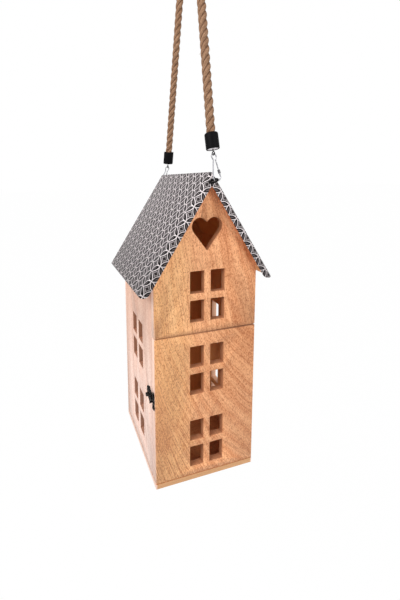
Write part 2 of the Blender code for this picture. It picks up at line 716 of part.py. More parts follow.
def make_hook(label, place):
    """A hook bent from one wire, with a sprung wire gate whose sleeve closes over the nose."""
    wire = HOOK_WIRE / 2
    bend_z = HOOK_BEND - (EYE_WIRE / 2 + wire + GAP)
    loop_z = HOOK_LENGTH - HOOK_LOOP
    waist_z = HOOK_LENGTH - HOOK_WAIST_DROP

    def leg(z, side):
        share = (waist_z - z) / (waist_z - bend_z)
        return (side * (HOOK_WAIST / 2 + share * (HOOK_BEND - HOOK_WAIST / 2)), 0, z)

    path = [leg(NOSE_HEIGHT, 1)]
    for i in range(9):
        turn = pi * i / 8
        path.append((HOOK_BEND * cos(turn), 0, bend_z - HOOK_BEND * sin(turn)))
    shoulder = radians(30)
    shoulder_x, shoulder_z = HOOK_LOOP * cos(shoulder), loop_z - HOOK_LOOP * sin(shoulder)
    throat = [
        (
            HOOK_WAIST / 2 + (shoulder_x - HOOK_WAIST / 2) * (1 - sin(pi / 2 * share)),
            shoulder_z + (waist_z - shoulder_z) * share,
        )
        for share in (0.35, 0.65)
    ]
    path.append(leg((bend_z + waist_z) / 2, -1))
    path.append(leg(waist_z, -1))
    path += [(-x, 0, z) for x, z in reversed(throat)]
    for i in range(11):
        turn = pi + shoulder - (pi + 2 * shoulder) * i / 10
        path.append((HOOK_LOOP * cos(turn), 0, loop_z + HOOK_LOOP * sin(turn)))
    path += [(x, 0, z) for x, z in throat]
    path.append(leg(waist_z, 1))
    path.append(leg(waist_z - HOOK_WIRE, 1))
    hook_name, gate_name, sleeve_name = (f"{label}_{kind}" for kind in ("snap_hook", "snap_gate", "gate_sleeve"))
    part(hook_name, meshed(wire_curve(hook_name, path, wire)), STEEL, place)

    hinge = Vector(leg(waist_z - HOOK_WIRE - 1.6 * GAP, 1))
    run = Vector(leg(GATE_END_HEIGHT, 1)) - hinge
    slant = Matrix.Rotation(atan2(run.x, -run.z), 4, "Y")
    gate_place = place @ Matrix.Translation(hinge) @ slant.inverted()
    part(gate_name, rod(gate_name, wire, -run.length, 0, 8), STEEL, gate_place)
    top = -run.length + SLEEVE_OVERLAP
    bottom = top - SLEEVE_LENGTH
    bore = wire + GAP
    sleeve = part(sleeve_name, rod(sleeve_name, bore + SLEEVE_WALL, bottom, top, 14), BLACK, gate_place)
    through = rod(f"{sleeve_name}_bore", bore, bottom - 0.002, top + 0.002, 12)
    cut(sleeve, helper(f"{sleeve_name}_bore", through, gate_place))
    mouth = box(f"{sleeve_name}_mouth", (0, -bore, bottom - 0.002), (0.004, bore, -run.length - GAP))
    cut(sleeve, helper(f"{sleeve_name}_mouth", mouth, gate_place))
    return place @ hinge


def make_rope_end(label, place, rounded_up):
    """Swivel ring, disc and cap. The matrix is at the cap's lower face, with +Z up the rope."""
    wire = SWIVEL_WIRE / 2
    ring_z = -(SWIVEL_NECK + wire + SWIVEL_RADIUS)
    upright = Matrix.Translation((0, 0, ring_z)) @ Matrix.Rotation(pi / 2, 4, "Y")
    name = f"{label}_swivel_eye"
    eye = part(name, ring(name, SWIVEL_RADIUS, wire, upright, 16), BRONZE, place)
    disc_low = 0.5 * MM
    disc_high = disc_low + DISC_THICK
    stem_top = disc_high + GAP
    join(eye, helper(f"{name}_stem", rod("stem", wire, ring_z + SWIVEL_RADIUS, stem_top + 0.4 * MM, 10), place))
    join(eye, helper(f"{name}_head", rod("head", 2 * wire, stem_top, stem_top + 0.9 * MM, 12), place))
    disc = part(
        f"{label}_cap_disc",
        rod(f"{label}_cap_disc", CAP_RADIUS - CAP_WALL - GAP, disc_low, disc_high, 20),
        STEEL,
        place,
    )
    cut(disc, helper(f"{label}_disc_hole", rod("disc_hole", wire + GAP, -0.002, 0.004, 10), place))
    inner = CAP_RADIUS - CAP_WALL
    throat = ROPE_RADIUS + GAP
    small = 0.4 * MM
    upper, lower = (CAP_ROUNDING, small) if rounded_up else (small, CAP_ROUNDING)
    lip = 2 * MM
    profile = [
        (throat, CAP_HEIGHT), (CAP_RADIUS - upper, CAP_HEIGHT), (CAP_RADIUS - upper * 0.3, CAP_HEIGHT - upper * 0.3),
        (CAP_RADIUS, CAP_HEIGHT - upper), (CAP_RADIUS, lower), (CAP_RADIUS - lower * 0.3, lower * 0.3),
        (max(CAP_RADIUS - lower, inner + 0.3 * MM), 0), (inner, 0), (inner, CAP_HEIGHT - lip), (throat, CAP_HEIGHT - lip),
    ]
    turned(f"{label}_end_cap", profile, 24, BLACK, place)
    return disc_high + GAP + 0.9 * MM + GAP


def make_hangers(gable, back, beam, sheet):
    """Screw eyes, snap hooks, rope ends, and the rope over the hanging point."""
    ends = []
    neck = SWIVEL_NECK + SWIVEL_WIRE / 2 + SWIVEL_RADIUS
    drop = SWIVEL_RADIUS - SWIVEL_WIRE / 2 - GAP - HOOK_WIRE / 2
    for label, end, panel, height, (aside, inwards), cap_lean in (
        ("front", -1, gable, EYE_HEIGHTS[0], HOOK_LEANS[0], CAP_LEANS[0]),
        ("back", 1, back, EYE_HEIGHTS[1], HOOK_LEANS[1], CAP_LEANS[1]),
    ):
        bottom = make_screw_eye(label, end, height, (panel, beam, sheet))
        lean = Vector((tan(radians(aside)), -end * tan(radians(inwards)), 1)).normalized()
        top = bottom + lean * HOOK_LENGTH
        cap, up = top, Vector((0, 0, 1))
        for _ in range(5):
            cap = top + up * (neck + drop)
            up = (leg_of(cap + up * CAP_HEIGHT)[1] + Vector((tan(radians(cap_lean)), 0, 0))).normalized()
        frame = hook_frame(bottom, top)
        hinge = make_hook(label, frame)
        rope_start = make_rope_end(label, facing(cap, up), rounded_up=end < 0)
        exit_point = cap + up * CAP_HEIGHT
        ends.append((cap + up * rope_start, exit_point, leg_of(exit_point)[0]))
        for what, value in (
            ("hook bottom", bottom - HANG_POINT), ("cap bottom", cap - HANG_POINT), ("gate hinge", hinge - HANG_POINT),
        ):
            print(f"{label} {what}, m:", [round(v, 6) for v in value])
        for what, value in (("swivel axis", up), ("gate axis", frame.to_3x3().col[1])):
            print(f"{label} {what}:", [round(v, 5) for v in value])
    make_rope(ends)


def smooth_route(knots, spacing):
    """Points along a smooth curve through the knots, about as far apart as the spacing, knots included."""
    padded = [2 * knots[0] - knots[1], *knots, 2 * knots[-1] - knots[-2]]
    points = [knots[0]]
    for a, b, c, d in zip(padded, padded[1:], padded[2:], padded[3:]):
        count = max(1, round((c - b).length / spacing))
        for i in range(1, count + 1):
            t = i / count
            points.append(
                0.5 * (2 * b + (c - a) * t + (2 * a - 5 * b + 4 * c - d) * t**2 + (3 * b - a - 3 * c + d) * t**3)
            )
    return points


def make_rope(ends):
    """One rope from cap to cap, up over the hanging point, as a smooth curve through a few knots."""
    (front, front_exit, front_touch), (back, back_exit, back_touch) = ends
    arch, turns = [], 6
    middle = Vector((0, 0, ROPE_TOP - ROPE_BEND))
    start = atan2(front_touch.z - middle.z, front_touch.y)
    stop = atan2(back_touch.z - middle.z, back_touch.y)
    for i in range(turns + 1):
        turn = start + (stop - start) * i / turns
        aside = ROPE_ASIDE[0] + (ROPE_ASIDE[1] - ROPE_ASIDE[0]) * i / turns
        arch.append(middle + Vector((aside, ROPE_BEND * cos(turn), ROPE_BEND * sin(turn))))
    shares = (0.12, 0.4, 0.7, 0.92)
    rise = [front_exit.lerp(front_touch, share) for share in shares]
    fall = [back_touch.lerp(back_exit, 1 - share) for share in reversed(shares)]
    knots = [front, front_exit, *rise, *arch, *fall, back_exit, back]
    points = smooth_route(knots, 2 * ROPE_RADIUS)
    long = sum((b - a).length for a, b in zip(points, points[1:]))
    print("rope length, mm:", round(long / MM, 1), "points:", len(points))
    part("hanging_rope", meshed(wire_curve("hanging_rope", points, ROPE_RADIUS, 3)), JUTE)


def main():
    base, walls, back, gable, beam = make_body()
    sheet = make_roof()
    door = make_door()
    for number, height in enumerate(HINGE_HEIGHTS):
        label = ("lower_hinge", "upper_hinge")[number]
        make_hinge(label, height, walls["right_wall"], door)
    make_latch(walls["left_wall"], door)
    make_base_screws(base, walls)
    make_hangers(gable, back, beam, sheet)


main()
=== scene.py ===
# %% [markdown]
# # A wooden house lantern that hangs by a rope
#
# The lantern is a small wooden house for a candle. A sheet of printed tin is folded over it as a roof, and a
# jute rope with two snap hooks carries it. The shapes were built first as a CAD model. This script loads that
# model as a fixed frame, then gives every piece the surface and the small details that the CAD leaves out.

import json
from math import cos, pi, radians, sin, sqrt, tan

import bmesh
import bpy
from mathutils import Matrix, Vector


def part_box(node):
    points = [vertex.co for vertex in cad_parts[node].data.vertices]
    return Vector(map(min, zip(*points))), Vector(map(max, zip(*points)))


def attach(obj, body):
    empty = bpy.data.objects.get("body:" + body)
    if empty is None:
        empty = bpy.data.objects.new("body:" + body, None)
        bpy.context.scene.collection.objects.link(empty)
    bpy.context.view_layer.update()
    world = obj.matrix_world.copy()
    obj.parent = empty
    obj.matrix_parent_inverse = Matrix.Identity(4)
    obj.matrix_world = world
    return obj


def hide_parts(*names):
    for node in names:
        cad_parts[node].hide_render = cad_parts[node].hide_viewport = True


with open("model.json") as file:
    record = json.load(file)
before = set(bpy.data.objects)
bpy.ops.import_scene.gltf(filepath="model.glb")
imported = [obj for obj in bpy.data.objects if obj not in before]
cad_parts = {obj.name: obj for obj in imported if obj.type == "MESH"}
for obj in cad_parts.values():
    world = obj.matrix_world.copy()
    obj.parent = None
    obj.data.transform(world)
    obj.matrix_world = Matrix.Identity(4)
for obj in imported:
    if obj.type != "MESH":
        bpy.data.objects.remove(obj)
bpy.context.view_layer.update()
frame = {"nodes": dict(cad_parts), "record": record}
MM = 0.001
HANG_POINT = Vector((10, 0, 794.6))

# %% [markdown]
# Heights are easiest to read in millimetres from the middle of the base's underside, as a maker would
# measure them. The frame has its origin where the rope hangs, so one helper carries a point from one to the
# other.

# %% Places
WIDTH, DEPTH, BOARD = 150, 150, 9
HALF = WIDTH / 2
FRONT = -DEPTH / 2
SIDES = (("front", -1), ("back", 1))
X, Y, Z = Vector((1, 0, 0)), Vector((0, 1, 0)), Vector((0, 0, 1))
TOUCHING = 0.000001


def at(x, y, z):
    """A point in the frame, from millimetres off the middle of the base's underside."""
    return (Vector((x, y, z)) - HANG_POINT) * MM


def paint(red, green, blue):
    """A colour for a shader, from the 0 to 255 that a paint chart gives."""
    linear = []
    for part in (red, green, blue):
        part = part / 255
        linear.append(part / 12.92 if part <= 0.04045 else ((part + 0.055) / 1.055) ** 2.4)
    return (*linear, 1)


def plain_mesh(name, points, edges=(), faces=()):
    mesh = bpy.data.meshes.new(name)
    mesh.from_pydata(points, edges, faces)
    return mesh


def quarter(steps):
    """The cosine and the sine of turns from 0 to a right angle."""
    turns = [pi / 2 * i / steps for i in range(steps + 1)]
    return [(cos(turn), sin(turn)) for turn in turns]


def placed(name, data):
    """A new object in the scene."""
    made = bpy.data.objects.new(name, data)
    bpy.context.scene.collection.objects.link(made)
    return made


print("front left corner of the base:", [round(v, 4) for v in at(-HALF, FRONT, 0)])

# %% [markdown]
# The camera stands a little left of the lantern and above its middle, turned to the right and tipped down.
# Its place and turn were worked out from the corners of the wooden box. Its matrix has three columns: what
# is right, what is up and what is behind. The lantern isn't in the middle of the picture, and a small lens
# shift gives that framing without turning the camera.

# %% Camera
TURN_RIGHT, TIP_UP, ROLL = radians(15.14), radians(-6.93), radians(-1.31)
PICTURE_WIDE, PICTURE_HIGH = 400, 600
FOCAL_PIXELS = 310
CENTRE_ACROSS, CENTRE_DOWN = 132, 218

ahead = Vector((sin(TURN_RIGHT) * cos(TIP_UP), cos(TURN_RIGHT) * cos(TIP_UP), sin(TIP_UP)))
level_right = Vector((cos(TURN_RIGHT), -sin(TURN_RIGHT), 0))
level_up = level_right.cross(ahead)
right = level_right * cos(ROLL) + level_up * sin(ROLL)
up = level_up * cos(ROLL) - level_right * sin(ROLL)

lens = bpy.data.cameras.new("camera")
lens.lens = lens.sensor_width * FOCAL_PIXELS / PICTURE_HIGH
lens.shift_x = (PICTURE_WIDE / 2 - CENTRE_ACROSS) / PICTURE_HIGH
lens.shift_y = (CENTRE_DOWN - PICTURE_HIGH / 2) / PICTURE_HIGH
lens.clip_start = 0.01
camera = placed("camera", lens)
stand = at(-197.2, -431.9, 421.8)
camera.matrix_world = Matrix.Translation(stand) @ Matrix((right, up, -ahead)).transposed().to_4x4()
bpy.context.scene.camera = camera
print("camera:", [round(v, 3) for v in stand], "lens, mm:", round(lens.lens, 2))

# %% [markdown]
# Shader and geometry nodes are written here as Python expressions, so that the formula for a pattern stands
# on one line. One small class holds a socket, and the usual operators on it add Math nodes to its tree.
# Every other node comes from one method: plain values fill its inputs in order, a name with a capital fills
# the input of that name, and any other name is a setting.


# %% Node trees as expressions
class Socket:
    """One output in a node tree, which Python's operators can work with."""

    def __init__(self, tree, output):
        self.tree = tree
        self.output = output

    def step(self, low, high, start=0.0, end=1.0):
        """A smooth ramp from start to end while the value runs from low to high."""
        values = (self, low, high, start, end)
        return self.tree.node("ShaderNodeMapRange", *values, interpolation_type="SMOOTHSTEP")

    def fall(self, low, high):
        """The same ramp from 1 down to 0."""
        return self.step(low, high, 1.0, 0.0)

    def between(self, low, risen, falling, high):
        """1 between the two middle values, with a ramp on either side."""
        return self.step(low, risen) * self.fall(falling, high)


def adds(operation, last=False):
    """A method that adds a Math node, with the socket itself as the first value or the last."""

    def method(self, *others):
        values = (*others, self) if last else (self, *others)
        return self.tree.node("ShaderNodeMath", *values, operation=operation)

    return method


for name, operation in {
    "__add__": "ADD", "__sub__": "SUBTRACT", "__mul__": "MULTIPLY", "__truediv__": "DIVIDE",
    "__pow__": "POWER", "__gt__": "GREATER_THAN", "__abs__": "ABSOLUTE", "root": "SQRT", "least": "MINIMUM",
    "most": "MAXIMUM", "sine": "SINE", "cosine": "COSINE", "fraction": "FRACT", "nearest": "ROUND",
}.items():
    setattr(Socket, name, adds(operation))
for name, operation in {"__radd__": "ADD", "__rsub__": "SUBTRACT", "__rmul__": "MULTIPLY"}.items():
    setattr(Socket, name, adds(operation, last=True))


class Tree:
    """A node tree that this script fills."""

    family = "ShaderNode"

    def __init__(self, tree):
        self.tree = tree
        self.tree.nodes.clear()

    def node(self, kind, *values, out=0, **named):
        """Adds a node. A list links several outputs to one input, and None leaves an input as it is."""
        made = self.tree.nodes.new(kind if "Node" in kind else self.family + kind)
        inputs = dict(enumerate(values))
        for name, value in named.items():
            if name[0].isupper():
                inputs[name.replace("_", " ")] = value
            else:
                setattr(made, name, value)
        for key, value in inputs.items():
            for item in value if isinstance(value, list) else [value]:
                if isinstance(item, Socket):
                    self.tree.links.new(item.output, made.inputs[key])
                elif item is not None:
                    made.inputs[key].default_value = item
        return Socket(self, made.outputs[out]) if made.outputs else None

    def vector(self, x, y, z):
        return self.node("ShaderNodeCombineXYZ", x, y, z)

    def parts(self, vector):
        made = self.node("ShaderNodeSeparateXYZ", vector).output.node
        return [Socket(self, output) for output in made.outputs]


print("operators ready:", len([name for name in vars(Socket) if name.startswith("__")]))

# %% [markdown]
# A finish is a material tree with a Principled shader at its end. Colours are blended with Mix nodes, never
# with Math nodes, which would turn them grey. Patterns start from millimetres on the object, so that a
# figure in a formula is a length on the real lantern. Many plain surfaces only wander between two close
# tones, and one function makes all of those.

# %% Finishes
CLOUD_RAMP = (0.3, 0.7)


class Finish(Tree):
    """A material that reads the object's own coordinates, as millimetres off the base's middle."""

    def __init__(self, name):
        self.material = bpy.data.materials.new(name)
        self.material.use_nodes = True
        super().__init__(self.material.node_tree)
        place = self.node("TexCoord", out="Object")
        per_metre = (1 / MM, 1 / MM, 1 / MM)
        self.place = self.node("VectorMath", place, per_metre, tuple(HANG_POINT), operation="MULTIPLY_ADD")
        self.x, self.y, self.z = self.parts(self.place)

    def noise(self, place, scale, detail=2, roughness=0.5, distortion=0):
        place = self.vector(*place) if isinstance(place, tuple) else place
        sizes = {"Scale": scale, "Detail": detail, "Roughness": roughness, "Distortion": distortion}
        return self.node("TexNoise", Vector=place, **sizes)

    def blend(self, factor, first, second, way="MIX"):
        settings = {"data_type": "RGBA", "blend_type": way, "clamp_factor": True}
        return self.node("Mix", factor, *[None] * 5, first, second, out=2, **settings)

    def layers(self, colour, *layers):
        """Lays colours over one another. Each layer is a mask and a colour."""
        for mask, over in layers:
            colour = self.blend(mask, colour, over)
        return colour

    def bump(self, height, distance, strength):
        return self.node("Bump", Height=height, Distance=distance * MM, Strength=strength)

    def done(self, colour, roughness, normal=None, **fixed):
        values = {"Base_Color": colour, "Roughness": roughness, "Normal": normal, **fixed}
        self.node("OutputMaterial", Surface=self.node("BsdfPrincipled", **values))
        return self.material


def cloudy(name, noise, dark, light, roughness, bump=None, **fixed):
    """A finish that wanders between two tones. Its roughness is one value, or a pair to wander between."""
    finish = Finish(name)
    cloud = finish.noise(finish.place, *noise)
    colour = finish.blend(cloud.step(*CLOUD_RAMP), paint(*dark), paint(*light))
    if isinstance(roughness, tuple):
        roughness = cloud.step(*CLOUD_RAMP, *roughness)
    return finish.done(colour, roughness, finish.bump(cloud, *bump) if bump else None, **fixed)


print("a finish is made from", FRONT, "mm at the front to", -FRONT, "mm at the back")

# %% [markdown]
# The lantern hangs, so the pale floor lies well below it and out of its way. Floor and world look white to
# the camera and in reflections, while they light the object only softly. Two large lamps do the rest: the
# one on the left is the stronger, which is why the left wall looks so pale.

# %% Floor, world and lamps
FLOOR_DROP, FLOOR_REACH = 420, 30.0
FLOOR_WHITENESS, WORLD_LIGHT = 0.99, 0.5
WHITE = (1, 1, 1, 1)
LAMP_AIM = at(0, 0, 250)


def seen_directly(tree):
    """1 for what the camera sees, also in a mirror or through glass, and 0 for the light on the object."""
    rays = tree.node("LightPath").output.node.outputs
    seen = Socket(tree, rays["Is Camera Ray"])
    for other in ("Is Glossy Ray", "Is Transmission Ray"):
        seen = seen.most(Socket(tree, rays[other]))
    return seen


def coat(mesh, *finishes):
    mesh.materials.clear()
    for finish in finishes:
        mesh.materials.append(finish)


def make_floor():
    low = at(0, 0, -FLOOR_DROP).z
    corners = [(x * FLOOR_REACH, y * FLOOR_REACH, low) for x, y in ((-1, -1), (1, -1), (1, 1), (-1, 1))]
    mesh = plain_mesh("floor", corners, faces=[(0, 1, 2, 3)])
    pale = Finish("pale_floor")
    colour = pale.blend(pale.noise(pale.place, 0.02, 3), paint(244, 243, 241), paint(250, 249, 248))
    matt = pale.node("BsdfDiffuse", Color=colour)
    bright = pale.node("Emission", Color=WHITE, Strength=1.0)
    shown = pale.node("MixShader", seen_directly(pale) * FLOOR_WHITENESS, matt, bright)
    pale.node("OutputMaterial", Surface=shown)
    coat(mesh, pale.material)
    placed("floor", mesh)


def make_world():
    world = bpy.data.worlds.new("studio")
    world.use_nodes = True
    bpy.context.scene.world = world
    tree = Tree(world.node_tree)
    soft = tree.node("Background", Color=WHITE, Strength=WORLD_LIGHT)
    white = tree.node("Background", Color=WHITE, Strength=1.0)
    tree.node("OutputWorld", Surface=tree.node("MixShader", seen_directly(tree), soft, white))


make_floor()
make_world()
for name, place, size, watts in (
    ("left_lamp", (-1.35, -0.4, 0.55), 0.9, 28), ("front_lamp", (0.5, -1.6, 0.1), 1.2, 16),
):
    light = bpy.data.lights.new(name, "AREA")
    light.size = size
    light.energy = watts
    lamp = placed(name, light)
    lamp.location = place
    lamp.rotation_euler = (LAMP_AIM - Vector(place)).to_track_quat("-Z", "Y").to_euler()
bpy.context.scene.view_settings.view_transform = "Standard"
print("floor", FLOOR_DROP, "mm below the lantern")

# %% [markdown]
# Geometry trees use the same expressions. A tree gets named inputs for its sizes and its material, so that
# one tree serves several pieces, and it always ends by making real faces and giving them that material. It
# runs as a modifier on a small source mesh, and the result is kept as a plain mesh.


# %% Geometry trees
def applied(mesh, kind, inputs=(), **settings):
    """The plain mesh that one modifier makes of a mesh. Inputs are those of a geometry tree."""
    carrier = placed(mesh.name, mesh)
    step = carrier.modifiers.new("step", kind)
    for name, value in settings.items():
        setattr(step, name, value)
    for key, value in dict(inputs).items():
        step[key] = value
    graph = bpy.context.evaluated_depsgraph_get()
    made = bpy.data.meshes.new_from_object(carrier.evaluated_get(graph))
    carrier.modifiers.remove(step)
    bpy.data.objects.remove(carrier)
    return made


class Shape(Tree):
    """A Geometry Nodes tree with named inputs for its sizes and its material."""

    family = "GeometryNode"

    def __init__(self, name):
        super().__init__(bpy.data.node_groups.new(name, "GeometryNodeTree"))
        for way in ("OUTPUT", "INPUT"):
            self.tree.interface.new_socket("Geometry", in_out=way, socket_type="NodeSocketGeometry")
        self.entry = self.tree.nodes.new("NodeGroupInput")
        self.keys = {}
        self.material = self.size("Material", "NodeSocketMaterial")

    def size(self, name, kind="NodeSocketFloat"):
        socket = self.tree.interface.new_socket(name, in_out="INPUT", socket_type=kind)
        self.keys[name] = socket.identifier
        return Socket(self, self.entry.outputs[-2])

    def sizes(self, *names):
        return [self.size(name) for name in names]

    def given(self):
        return Socket(self, self.entry.outputs[0])

    def circle(self, sides, radius):
        return self.node("CurvePrimitiveCircle", mode="RADIUS", Resolution=sides, Radius=radius)

    def swept(self, curve, profile):
        """A smooth surface with closed ends, from a profile that runs along a curve."""
        surface = self.node("CurveToMesh", Curve=curve, Profile_Curve=profile, Fill_Caps=True)
        return self.node("SetShadeSmooth", surface)

    def finish(self, geometry):
        """Ends the tree: instances become real faces, and they get their material."""
        real = self.node("RealizeInstances", geometry)
        self.node("NodeGroupOutput", self.node("SetMaterial", real, Material=self.material))
        return self

    def run(self, name, source, **sizes):
        """Runs the tree on a mesh and returns the plain mesh that it makes."""
        inputs = {self.keys[label.replace("_", " ")]: value for label, value in sizes.items()}
        mesh = applied(source, "NODES", inputs, node_group=self.tree)
        mesh.name = name
        return mesh


print("geometry trees ready")

# %% [markdown]
# A few helpers carry the modelling. One turns a working mesh into a plain one that looks smooth up to an
# angle, one joins meshes, and one makes a finished mesh a piece. A piece takes the place of the CAD nodes
# that it shows more finely, and the frame's record tells which body they ride on.
# Its origin stays at the frame's, so that its shader can measure from there.

# %% Helpers for pieces
record = frame["record"]
BODIES = {node: body for body, nodes in record["behaviour"]["bodies"].items() for node in nodes}


def meshed(work, name, sharp=40):
    """A bmesh as a plain mesh. Faces that meet at a wider angle than the sharp one keep a hard edge."""
    mesh = bpy.data.meshes.new(name)
    work.to_mesh(mesh)
    work.free()
    mesh.shade_smooth()
    mesh.set_sharp_from_angle(angle=radians(sharp))
    return mesh


def joined(name, *meshes):
    work = bmesh.new()
    for mesh in meshes:
        work.from_mesh(mesh)
    return meshed(work, name)


def piece(name, mesh, *nodes, finish=None, beside=None):
    """A finished mesh in place of CAD nodes, or beside one that stays. It has their body."""
    made = placed(name, mesh)
    if finish:
        coat(mesh, finish)
    like = beside or nodes[0]
    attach(made, BODIES[like])
    if nodes:
        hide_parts(*nodes)
    return made


def dress(finish, *nodes):
    """Gives CAD nodes that are fine as they are their finish."""
    for name in nodes:
        coat(frame["nodes"][name].data, finish)


print("helpers ready for", len(frame["nodes"]), "CAD nodes")

# %% [markdown]
# The wood is oiled mango. Growth bands come from noise that is stretched along a line of the figure, and
# short dark pores lie over them along the board. On the front the saw cut across the growth rings, so the
# figure runs down to the right and steepens towards the left edge, where the wood is also yellower. Faces
# that look into the house are a deeper brown, which is painted shade and bounced light of the inside. Edges
# that the cutter left, such as the panes' reveals, have a colour of their own, and on the right wall a paler
# one, which is painted light from behind. The walls are paler than the front, partly as painted light from
# the lamp on the left, and darker towards the top, as painted shade under the eaves. The right of the front
# is darkened with painted shade too. The outermost edges are rubbed pale, and a dark line along the seam over
# the door is painted shade.

# %% Wood
PLANK_EDGE, PLANK_FADE, DOOR_TOP, MIDDLE_HEIGHT = -32, 36, 217, 216
INSIDE_FROM, INSIDE_TO = -50, -25
RUBBED_WIDTH, RUBBED_FROM = 1.5, 50
BAND_RAMP = (0.36, 0.64)
# Painted light and shade: the inside brown stands for the shade and bounced light inside the house, the paler
# cut colour for light from behind on the right wall's reveals, the dark seam colour for shade in the seam
# over the door, and the first multiplying tint for shade on the right of the front.
INSIDE_SHADE_BROWN = (236, 162, 94)
RUBBED, PAINTED_LIT_CUT, PAINTED_SEAM_SHADE = paint(238, 209, 197), paint(244, 196, 160), paint(64, 34, 18)
RIGHT_SHADE_TINT, SAPWOOD = (0.79, 0.73, 0.68, 1), (0.92, 0.88, 0.85, 1)


def make_wood(name, *colours, face="x", run="z", second=None, upper=None, inside_shade_share=0.58):
    """Wood with its pores along one axis. Its broad faces look along another, and the rest are cut edges.

    The colours are those of the pale bands, the deep bands, the pores, the cut edges and the faces inside
    the house, whose colour is painted shade and bounced light. Second holds the bands of another plank on the
    left. Upper is a tint that grows with the height, which is painted shade under the eaves; where it is
    given, the cut edges on the right wall are painted paler, as if lit from behind.
    """
    wood = Finish(name)
    pale, deep, pores, cut, inner = [paint(*colour) for colour in colours]
    x, y, z = wood.x, wood.y, wood.z
    across, beside, along = {"z": (x, y, z), "x": (y, z, x)}[run]
    sway = wood.noise((across * 0.014, beside * 0.014, along * 0.005), 1)
    if second:
        left = (HALF - across) / WIDTH
        climb = along.least(DOOR_TOP) + (along - DOOR_TOP).most(0) * 0.3
        ring = (climb + across - left * left * left * 125) * 0.55 + sway * 22
    else:
        ring = across + beside * 0.6 + sway * 34
    bands = wood.noise((ring * 0.12, 7.0, along * 0.0012), 1, 3, 0.62).step(*BAND_RAMP)
    lines = wood.noise((ring * 0.42, 3.0, along * 0.01), 1, 3, 0.6)
    hatch = wood.noise((ring * 1.05, 5.0, along * 0.05), 1, 2, 0.6)
    blotch = wood.noise((across * 0.02, beside * 0.02, along * 0.012), 1)
    speckle = wood.noise((across * 0.82, beside * 0.82, along * 0.44), 1, 3, 0.75)
    colour = wood.blend(bands * 0.8, pale, deep)
    marked = 0.34
    if second:
        plank = wood.blend(bands * 0.5, *second)
        colour = wood.blend((x + sway * 30).step(PLANK_EDGE, PLANK_EDGE + PLANK_FADE), plank, colour)
        marked = 0.38 + x.fall(-50, 0) * z.fall(60, 150) * 0.34
    colour = wood.layers(
        colour, (lines.step(0.48, 0.62) * marked, pores), (hatch.step(0.48, 0.66) * 0.27, pores),
        (blotch.step(0.5, 0.78) * 0.5, deep), (speckle.step(0.5, 0.61) * 0.68, pores),
        (speckle.fall(0.36, 0.47) * 0.62, pale),
    )
    # Painted shade under the eaves: the wood grows darker towards the top.
    if upper:
        colour = wood.blend(z.step(40, 340), colour, upper, "MULTIPLY")
        # The right wall's cut edges are painted paler, as painted light from behind.
        cut = wood.blend(x > 0, cut, PAINTED_LIT_CUT)
    if second:
        # Painted shade: the right of the door and the lower gable are darkened.
        heart = x.step(-20, 55) * z.between(40, 200, 205, 265)
        colour = wood.blend(heart, colour, RIGHT_SHADE_TINT, "MULTIPLY")
        colour = wood.blend(x.fall(-50, 0) * z.fall(205, 250), colour, SAPWOOD, "MULTIPLY")
        # A dark line painted along the seam over the door, as its shade.
        seam = abs(z - DOOR_TOP).fall(0.5, 1.8) * x.step(-40, 70)
        colour = wood.blend(seam * 0.75, colour, PAINTED_SEAM_SHADE)
    facing = wood.parts(wood.node("TexCoord", out="Normal"))["xyz".index(face)]
    outwards = facing * {"x": x, "y": y, "z": z - MIDDLE_HEIGHT}[face]
    outer = abs(x) > HALF - RUBBED_WIDTH
    if face != "z":
        outer = outer * (abs(y) > RUBBED_FROM)
    # Faces inside the house get the inside brown, a painted shade and bounced light.
    colour = wood.layers(
        colour, (outwards.step(INSIDE_FROM, INSIDE_TO, inside_shade_share, 0.0), inner),
        (abs(facing).fall(0.5, 0.8) * 0.75, wood.blend(outer, cut, RUBBED)),
    )
    height = speckle * -0.8 - hatch * 0.3
    return wood.done(colour, 0.58, wood.bump(height, 0.16, 0.6), Specular_IOR_Level=0.28)


front_wood = make_wood(
    "front_wood", (239, 178, 130), (206, 136, 90), (158, 88, 48), (172, 116, 84), INSIDE_SHADE_BROWN,
    face="y", second=(paint(250, 197, 140), paint(226, 164, 106)),
)
# The walls' pale, pinkish tones are partly painted light from the strong lamp on the left, and their height
# tint is painted shade under the eaves.
side_wood = make_wood(
    "side_wood", (249, 223, 211), (236, 200, 185), (206, 160, 140), (156, 96, 58), INSIDE_SHADE_BROWN,
    upper=(0.7, 0.575, 0.475, 1), inside_shade_share=0.88,
)
plain_wood = make_wood(
    "plain_wood", (216, 150, 98), (192, 122, 74), (140, 84, 46), (180, 118, 74), INSIDE_SHADE_BROWN, face="y",
)
base_wood = make_wood(
    "base_wood", (212, 164, 120), (184, 134, 92), (130, 84, 52), (200, 152, 108), (190, 108, 54),
    face="z", run="x",
)
print("woods:", front_wood.name, side_wood.name, plain_wood.name, base_wood.name)

# %% [markdown]
# The boards come straight from the frame. A sander takes the sharpness off their long edges, so these get a
# narrow rounding, also round the panes and along the roof line. Short edges in hinge pockets and screw
# holes stay as the cutter left them.

# %% Boards with softened edges
EDGE_ROUNDING, SHORTEST_EDGE, SHARP_EDGE = 0.45, 2.4, 50
POCKET_WIDE, POCKET_DEEP = 12, 4.4
EYE_HOLE_WIDE, EYE_HOLE_LOW = 6, 395
BASE_THICK, BASE_MARGIN = 8, 0.2


def near_fittings(edge):
    """True for an edge in a hinge pocket or a screw hole, which no sander reaches."""
    middle = (edge.verts[0].co + edge.verts[1].co) / 2 / MM + HANG_POINT
    in_pocket = middle.x > HALF - POCKET_WIDE and abs(middle.y - (FRONT + BOARD)) < POCKET_DEEP
    in_base = BASE_MARGIN < middle.z < BASE_THICK - BASE_MARGIN
    in_eye_hole = abs(middle.x) < EYE_HOLE_WIDE and middle.z > EYE_HOLE_LOW
    return in_pocket or in_base or in_eye_hole


